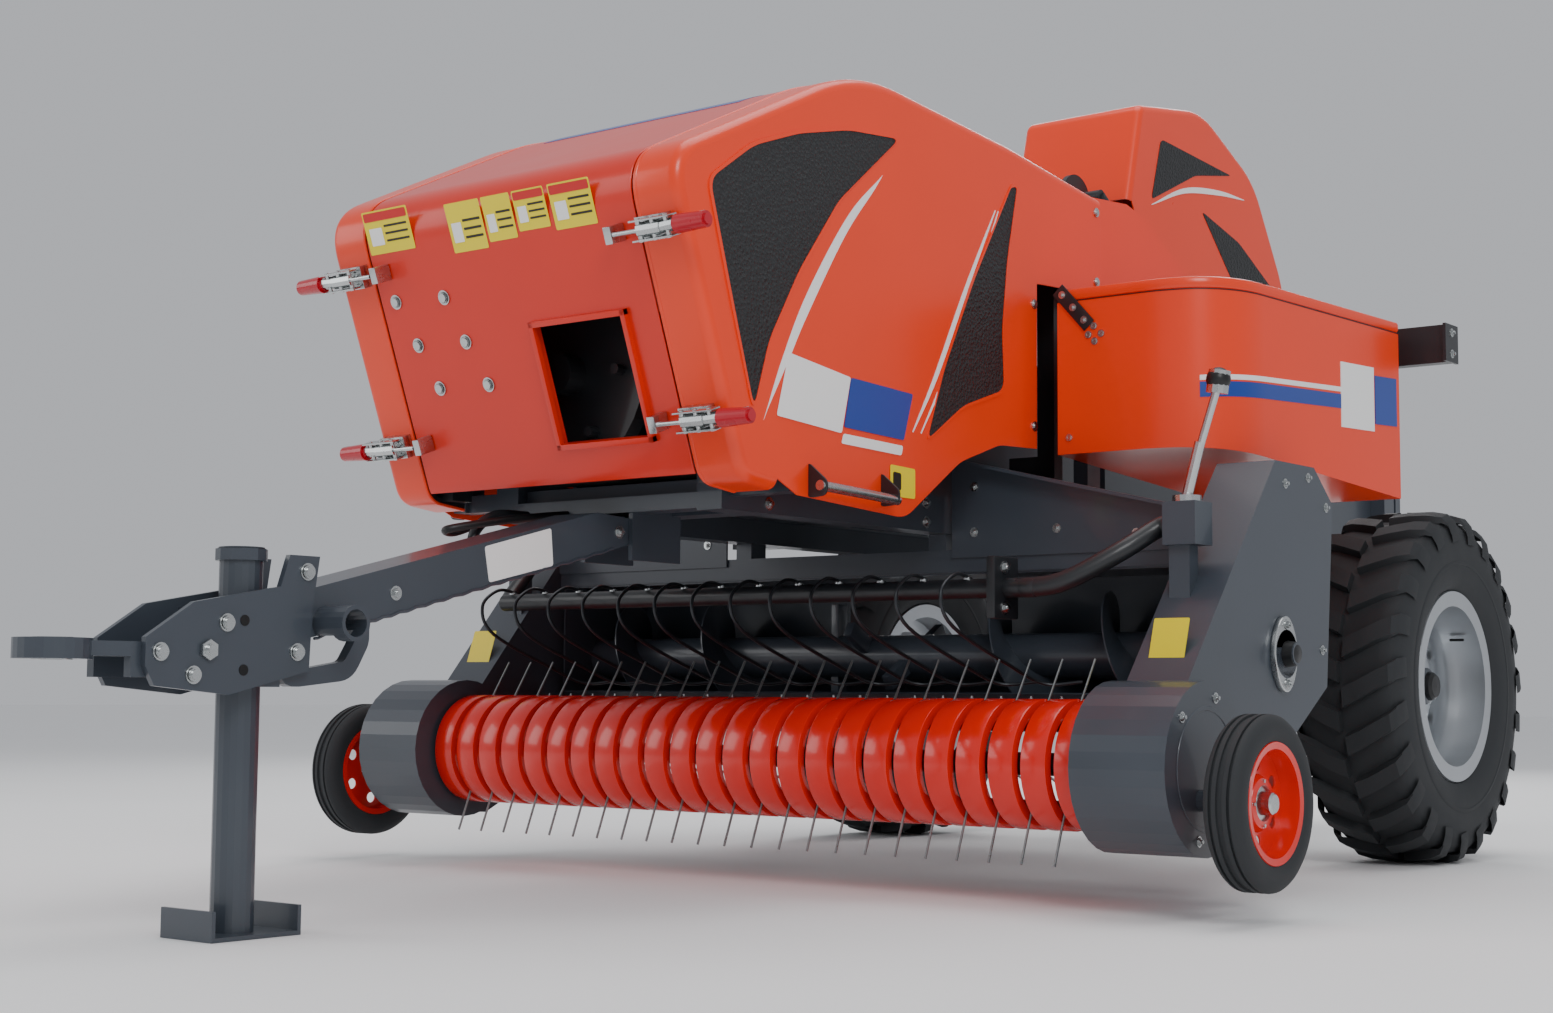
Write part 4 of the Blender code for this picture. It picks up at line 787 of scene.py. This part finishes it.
def nose_details():
    spots = [(on_nose(x, z), tuple(FACE_OUT)) for x, z in (
        (-0.348, 1.312), (-0.196, 1.306), (-0.312, 1.216), (-0.162, 1.210), (-0.277, 1.121), (-0.125, 1.117))]
    scatter("nose_bolts", spots, cap_head(0.011, 0.008), "zinc", "hood_lid")
    for n, (x0, x1, z0, z1, header) in enumerate((
            (-0.39, -0.245, 1.415, 1.505, "label_red"), (-0.13, -0.025, 1.39, 1.49, None),
            (-0.018, 0.066, 1.40, 1.49, None), (0.074, 0.165, 1.41, 1.49, "label_red"),
            (0.178, 0.295, 1.40, 1.49, "label_red"))):
        nose_label("warning_%d" % (n + 1), x0, x1, z0, z1, header)
    part = [(y, z) for y, z in inset(hood_line(), -0.0008) if z > 1.5 and -2.42 <= y - Y0 <= -1.62]
    decal = sweep([(-0.30, 0.0), (0.30, 0.0), (0.30, -0.0006), (-0.30, -0.0006)], part)
    make("decal_blue", decal, "blue", "hood_lid")
    bars = []
    for x0, x1, z0, z1 in ((0.043, 0.055, 0.968, 1.232), (0.305, 0.317, 0.968, 1.232),
                           (0.043, 0.317, 0.968, 0.980), (0.043, 0.317, 1.220, 1.232)):
        w, h = (x1 - x0) / 2, (z1 - z0) / 2 / FACE_UP.z
        place = nose_axes((x0 + x1) / 2, (z0 + z1) / 2)
        bars.append(block((-w, w), (-h, h), (-0.012, 0.0125), 0.001, place))
    make("window_trim", merged(bars), "hood_red", "hood_lid")


# ---- Knotter hood ----
def knotter_hood():
    points = [(-0.362, 1.90), (-0.285, 2.197), (0.11, 2.262), (0.46, 2.11), (0.665, 1.80), (0.72, 1.480)]
    line = [(y + Y0, z) for y, z in rounded(points, [0.04, 0.30, 0.30, 0.3], 16)]
    r, half = 0.022, 0.200
    top = rolled(1, 0, half, r, SKIN)
    outer, inner = top[1:10], top[10:19]
    section = [(-x, d) for x, d in reversed(outer)] + outer + inner + [(-x, d) for x, d in reversed(inner)]
    skins = [sweep(section, line)]
    outline = inset(line, r - 0.001) + [(Y0 - 0.10, 1.480)]
    for s in (1, -1):
        low, high = sorted((s * (half - SKIN), s * half))
        skins.append(plate([outline], "X", low, high, 0.0008))
    make("knotter_skin", merged(skins), "orange", "knotter_hood", ("knotter_hood",), 30)
    for word, s in SIDES:
        for n, shape in enumerate((GRILLE_3, GRILLE_4)):
            shape = soft([(y * 0.97, z - 0.012) for y, z in shape], 0.02, 6)
            flat("knotter_grille_%d_%s" % (n, word), shape, s, half, "mesh", "knotter_hood")
        shape = ribbon_shape([(-0.225, 1.905), (-0.02, 1.985), (0.20, 2.020), (0.38, 2.030)], (0.002, 0.018))
        flat("knotter_swoosh_" + word, shape, s, half, "white", "knotter_hood")


def knotters():
    """Legs, shaft and two knotters; the twine drum ahead of them."""
    x, foot = 0.1957, 1.3003
    shaft, drum = (0.25, 1.54), (-0.50, 1.88)

    def across(x0, x1, at, *sizes, bevel=0.0):
        return rod(pos(x0, *at), pos(x1, *at), *sizes, bevel=bevel)

    parts = []
    for s in (1, -1):
        leg = tuple(sorted((s * (x - 0.025), s * x)))
        parts += [block(leg, (Y0 - 0.05, Y0 + 0.02), (foot, 1.60), 0.003),
                  block(leg, (Y0 + 0.60, Y0 + 0.67), (foot, 1.56), 0.003),
                  block(leg, (Y0 - 0.05, Y0 + 0.67), (1.52, 1.56), 0.003),
                  rod(pos(s * (x - 0.012), 0.0, 1.56), pos(s * (x - 0.012), *drum), 0.018, 20)]
    parts += [across(-0.186, 0.186, shaft, 0.03, 32), across(-0.19, 0.19, drum, 0.02, 24),
              across(-0.11, -0.09, drum, 0.075, 48, bevel=0.002),
              across(0.09, 0.11, drum, 0.075, 48, bevel=0.002), across(-0.09, 0.09, drum, 0.045, 40),
              block((-0.10, 0.10), (Y0 + 0.10, Y0 + 0.40), (1.45, 1.72), 0.006)]
    parts += [across(q - 0.012, q + 0.012, shaft, 0.085, 48, bevel=0.003) for q in (-0.13, -0.06, 0.06, 0.13)]
    make("knotter_works", merged(parts), "dark", "chassis", ("knotter_stack",))
    spots = [(pos(s * 0.1705, y, 1.54), (-s, 0, 0)) for s in (1, -1) for y in (-0.02, 0.30, 0.64)]
    scatter("knotter_bolts", spots, bolt(0.008, 0.006), "zinc", "chassis")


# ---- Twine boxes ----
BOX_FRONT, BOX_BACK = -1.370, -0.456


def box_line(s, i=0.0, steps=18):
    """A twine box's plan, drawn in by i."""
    corners = [(0.568 + i, BOX_FRONT + i), (1.0 - i, BOX_FRONT + i), (1.050 - i, BOX_BACK - i)]
    line = rounded(corners, [0.36], steps)
    return [(s * x, y + Y0) for x, y in line + [(0.568 + i, BOX_BACK - i)]]


def twine_box(word, s):
    top, wall = 1.404, 0.005
    name, lid = "twine_box_" + word, "twine_lid_" + word
    outer, inner = box_line(s), box_line(s, wall)

    def low(y):
        return 1.030 - 0.062 * (y - Y0 - BOX_FRONT) / (BOX_BACK - BOX_FRONT)

    shell = loft([[(x, y, low(y)) for x, y in outer], [(x, y, top) for x, y in outer],
                  [(x, y, top) for x, y in inner], [(x, y, low(y) + wall) for x, y in inner]])
    make(name + "_skin", mesh_of(shell), "orange", "chassis", (name,), 40)
    skin = plate([box_line(s)], "Z", top + 0.0003, top + 0.0283, 0.007)
    make(lid + "_skin", skin, "orange", lid, (lid,), 35)
    # A thin black band just under the lid's edge: painted shade of the seam between lid and box
    make(name + "_seal", plate([box_line(s, -0.001)], "Z", top - 0.003, top - 0.0005), "plastic", "chassis")
    for part, mat, start, end, low_a, low_b, height, lift in (
            ("stripe_white", "white", 0.29, 0.75, 1.186, 1.214, 0.012, 0.0012),
            ("stripe_blue", "blue", 0.29, 0.75, 1.146, 1.172, 0.036, 0.0012),
            ("plate_white", "white", 0.745, 0.885, 1.125, 1.130, 0.165, 0.002),
            ("plate_blue", "blue", 0.89, 0.985, 1.150, 1.155, 0.125, 0.002)):
        rows = []
        for f, p, out in resample(outer[:-1], start, end, s):
            z = low_a + (low_b - low_a) * f
            rows.append([(p.x + out.x * q, p.y + out.y * q, v)
                         for q, v in ((0.0, z), (lift, z), (lift, z + height), (0.0, z + height))])
        make("%s_%s" % (name, part), mesh_of(loft(rows)), mat, "chassis")
    lean = Matrix.Translation((s * 0.615, Y0 - 1.3735, 1.385)) @ Matrix.Rotation(-s * math.radians(42), 4, "Y")
    strap = block((-0.018, 0.018), (-0.002, 0.002), (-0.065, 0.065), 0.001, lean)
    make(name + "_strap", strap, "dark", "chassis")
    spots = [(lean @ Vector((0, -0.002, q)), (0, -1, 0)) for q in (-0.045, 0.0, 0.045)]
    scatter(name + "_strap_bolts", spots, bolt(0.0065, 0.005), "zinc", "chassis")
    spots = [(pos(s * x, BOX_FRONT, z), (0, -1, 0)) for x, z in (
        (0.60, 1.07), (0.67, 1.335), (0.655, 1.315), (0.69, 1.315), (0.672, 1.298))]
    scatter(name + "_bolts", spots, cap_head(0.006, 0.004), "zinc", "chassis")


def resample(curve, start, end, s, steps=40):
    """(share, point, outward direction) rows between two shares of the curve's length."""
    length = [0.0]
    for a, b in zip(curve, curve[1:]):
        length.append(length[-1] + (Vector(b) - Vector(a)).length)
    out = []
    for k in range(steps + 1):
        want = length[-1] * (start + (end - start) * k / steps)
        i = max(j for j in range(len(length)) if length[j] <= want + 1e-9)
        i = min(i, len(curve) - 2)
        f = (want - length[i]) / max(length[i + 1] - length[i], 1e-9)
        a, b = Vector(curve[i]), Vector(curve[i + 1])
        d = (b - a).normalized()
        out.append((k / steps, a.lerp(b, min(f, 1)), Vector((d.y, -d.x)) * s))
    return out


# ---- Clamps, frame, drawbar and hitch details ----
def clamp(word, s, z, body):
    """A toggle clamp's grip, links and rivets on the nose."""
    base = on_nose(0, z, 0.036)
    p, q = base + Vector((s * 0.525, 0, 0)), base + Vector((s * 0.610, 0, 0))
    make("clamp_grip_" + word, rod(p, q, 0.0200, 28, r2=0.0165, bevel=0.005), "grip", body)
    axes = nose_axes(s * 0.470, z, 0.036)

    def pin(p, q, r):
        return rod(axes @ Vector(p), axes @ Vector(q), r, 16)

    links = [block((-0.052, 0.052), (q - 0.0018, q + 0.0018), (-0.014, 0.016), 0.001, axes)
             for q in (-0.020, 0.020)]
    links += [pin((q, -0.024, 0.004), (q, 0.024, 0.004), 0.005) for q in (-0.036, 0.0, 0.036)]
    links.append(pin((-s * 0.105, 0, 0.006), (-s * 0.03, 0, 0.006), 0.005))
    links.append(block((-s * 0.118 - 0.010, -s * 0.118 + 0.010), (-0.018, 0.018), (-0.0345, 0.010), 0.002, axes))
    links.append(pin((s * 0.03, 0, 0.0), (s * 0.085, 0, 0.0), 0.006))
    make("clamp_links_" + word, merged(links), "zinc", body)
    spots = [(on_nose(s * x, z, 0.0247), tuple(FACE_OUT)) for x in (0.425, 0.462)]
    scatter("clamp_rivets_" + word, spots, cap_head(0.005, 0.004), "zinc", body)


def details():
    spots = on_sides(0.0783, ((-3.57, 0.515), (-3.50, 0.475), (-3.43, 0.570), (-3.27, 0.520), (-3.25, 0.670)))
    scatter("hitch_bolts", spots, cap_head(0.011, 0.012), "zinc", "chassis")
    # The hitch plates' holes are dark discs of painted shade, not cut through
    scatter("hitch_holes", on_sides(0.0783, ((-3.39, 0.485), (-3.39, 0.575))), recess(0.010), "hole_shade", "chassis")
    cap = rod(pos(0, -3.341, 0.709), pos(0, -3.341, 0.7135), 0.044, 32, bevel=0.002)
    make("jack_cap", cap, "grey", "jack")
    pin = [rod(pos(x0, -3.47, 0.520), pos(x1, -3.47, 0.520), r, sides, bevel=bevel)
           for x0, x1, r, sides, bevel in ((-0.095, 0.095, 0.011, 20, 0.002), (0.078, 0.088, 0.019, 6, 0.001),
                                           (-0.088, -0.078, 0.019, 6, 0.001))]
    make("hitch_pin", merged(pin), "zinc", "chassis")
    at = pos(0, -3.733, 0.518)
    ring = [(-0.0195, 0.0215), (-0.0195, 0.034), (0.0195, 0.034), (0.0195, 0.0215)]
    bush = loft([[(at.x + r * math.cos(a), at.y + r * math.sin(a), at.z + z) for z, r in ring]
                 for a in (math.tau * k / 64 for k in range(64))], around=True)
    make("eye_bush", mesh_of(bush), "zinc", "chassis")
    spots = on_sides(0.065, ((-2.38, 0.80), (-3.02, 0.640)))
    scatter("drawbar_bolts", spots, bolt(0.010, 0.008), "zinc", "chassis")
    shape = quad((-2.784, 0.745), (-2.593, 0.795), (-2.585, 0.716), (-2.77, 0.672))
    for n, s in enumerate((1, -1)):
        flat("drawbar_plate_%d" % n, shape, s, 0.065, "white", "chassis")
    hook = [(-0.20, -2.40, 0.845), (-0.20, -2.50, 0.840), (-0.20, -2.56, 0.800), (-0.20, -2.565, 0.740),
            (-0.20, -2.53, 0.690)]
    make("hose_hook", tube(smooth_path([pos(*p) for p in hook], 8), 0.012, 4), "dark", "chassis")
    hose = [(-0.10, -2.30, 0.855), (-0.14, -2.46, 0.835), (-0.17, -2.58, 0.815), (-0.205, -2.64, 0.800),
            (-0.24, -2.58, 0.800), (-0.27, -2.45, 0.835), (-0.29, -2.32, 0.852)]
    make("hose", tube(smooth_path([pos(*p) for p in hose], 8), 0.009, 4), "plastic", "chassis")
    welds = []
    for s in (1, -1):
        path = smooth_path([pos(s * 0.066, y, 0.528 + 0.2626 * (y + 3.29)) for y in (-3.22, -3.0, -2.7, -2.4)], 24)
        ripple = [p + Vector((0, 0, 0.0015 * math.sin(11 * k))) for k, p in enumerate(path)]
        welds.append(tube(ripple, 0.003, 2))
    make("drawbar_welds", merged(welds), "grey", "chassis")
    spots = on_sides(0.340, product((-2.2, -1.6, -1.2, -0.62, -0.2, 0.3), (0.862, 0.908)))
    scatter("rail_bolts", spots, bolt(0.010, 0.008), "zinc", "chassis")
    spots = [(pos(s * x, -1.511, z), (0, -1, 0)) for s in (1, -1)
             for x, z in ((0.42, 0.95), (0.42, 0.84), (0.65, 0.84), (0.86, 0.82))]
    scatter("bulkhead_bolts", spots, bolt(0.008, 0.006), "zinc", "chassis")
    spots = on_sides(0.2535, product((0.4, 0.6, 1.0, 1.1), (0.97, 1.23)))
    scatter("chamber_bolts", spots, bolt(0.009, 0.007), "zinc", "chassis")
    for word, s in SIDES:
        for n, z in enumerate((1.376, 1.008)):
            clamp("%s_%d" % (word, n), s, z, "hood_side_" + word)
    bm = bmesh.new()
    bmesh.ops.create_uvsphere(bm, u_segments=32, v_segments=20, radius=0.027)
    bmesh.ops.translate(bm, vec=pos(1.114, -1.60, 1.140), verts=bm.verts)
    make("lever_knob", mesh_of(bm), "plastic", "pickup")
    for word, s in SIDES:
        spots = on_side(s, 1.154, ((-0.355, 1.352), (-0.355, 1.408)))
        scatter("light_bolts_" + word, spots, bolt(0.008, 0.006), "zinc", "chassis")
        lamp = block(tuple(sorted((s * 1.02, s * 1.13))), (Y0 - 0.3305, Y0 - 0.315), (1.345, 1.415), 0.004)
        make("rear_lamp_" + word, lamp, "label_red", "chassis")
        label(pos(s * 1.052, -1.7205, 0.565), (1, 0, 0), (0, 0.31, 0.951), 0.085, 0.11, "yellow", "pickup",
              "case_label_" + word, 0.0)


CAD_LOOKS = {
    "main_frame": ("grey", 0.004), "axle_beam": ("grey", 0.004), "bale_chamber": ("grey", 0.003),
    "tension_hoop": ("grey", 0.003), "drawbar": ("grey", 0.004), "hitch_head": ("grey", 0.002),
    "hitch_eye": ("grey", 0.003), "jack_leg": ("grey", 0.002), "hood_frame": ("dark", 0.002),
    "middle_panel_left": ("orange", 0.001), "middle_panel_right": ("orange", 0.001),
    "gearbox": ("dark", 0.005), "flywheel": ("dark", 0.003), "rear_light_bar": ("dark", 0.002),
    "auger_housing": ("grey", 0.0015), "pickup_side_left": ("grey", 0.004),
    "pickup_side_right": ("grey", 0.004), "guard_lever": ("zinc", 0.001), "plunger": ("dark", 0.003),
    "clamp_upper_left": ("zinc", 0.001), "clamp_lower_left": ("zinc", 0.001),
    "clamp_upper_right": ("zinc", 0.001), "clamp_lower_right": ("zinc", 0.001),
}

for side_word, side in SIDES:
    main_wheel(side_word, side)
    gauge_wheel(side_word, side)
    pickup_details(side_word, side)
    hood_details(side_word, side)
    twine_box(side_word, side)
bands()
reel()
windguard()
auger()
hood()
nose_details()
knotter_hood()
knotters()
details()
for node_name, (paint, edge_width) in CAD_LOOKS.items():
    cad_finish(node_name, paint, edge_width)


# ---- Floor, light and camera ----
def stage():
    bm = bmesh.new()
    bmesh.ops.create_grid(bm, x_segments=1, y_segments=1, size=60)
    mesh = mesh_of(bm, "floor")
    mesh.materials.append(material("pale studio floor", "FAFAFA", 0.8, vary=0.015, scale=0.6, bump=0.01))
    floor = bpy.data.objects.new("floor", mesh)
    floor.location.z = -0.0005
    bpy.context.scene.collection.objects.link(floor)
    middle = Vector((0, -0.3, 0.8))
    for name, place, power, size in (
            ("key", (6.0, -5.5, 5.5), 250, 3.0), ("fill", (-6.0, -6.0, 3.5), 110, 4.0),
            ("top", (0.5, 0.5, 6.5), 150, 4.5), ("rim", (-3.5, 7.0, 4.5), 200, 3.5)):
        data = bpy.data.lights.new(name, "AREA")
        data.energy, data.size = power, size
        lamp = bpy.data.objects.new(name, data)
        lamp.location = place
        lamp.rotation_euler = (middle - Vector(place)).to_track_quat("-Z", "Y").to_euler()
        bpy.context.scene.collection.objects.link(lamp)
    world = bpy.data.worlds.new("studio")
    world.use_nodes = True
    back = world.node_tree.nodes["Background"]
    back.inputs["Color"].default_value = (0.93, 0.95, 1.0, 1)
    back.inputs["Strength"].default_value = 0.55
    bpy.context.scene.world = world


def camera():
    az, pitch, roll = (math.radians(a) for a in (38.586, 4.991, 0.396))
    forward = Vector((-math.sin(az) * math.cos(pitch), math.cos(az) * math.cos(pitch), math.sin(pitch)))
    right = Vector((math.cos(az), math.sin(az), 0))
    up = right.cross(forward)
    across = right * math.cos(roll) + up * math.sin(roll)
    upward = up * math.cos(roll) - right * math.sin(roll)
    data = bpy.data.cameras.new("camera")
    data.lens, data.sensor_width, data.clip_start = 50.42, 36, 0.05
    obj = bpy.data.objects.new("camera", data)
    turn = Matrix((across, upward, -forward)).transposed().to_4x4()
    obj.matrix_world = Matrix.Translation((3.296, -4.703, 0.444)) @ turn
    bpy.context.scene.collection.objects.link(obj)
    bpy.context.scene.camera = obj


stage()
camera()
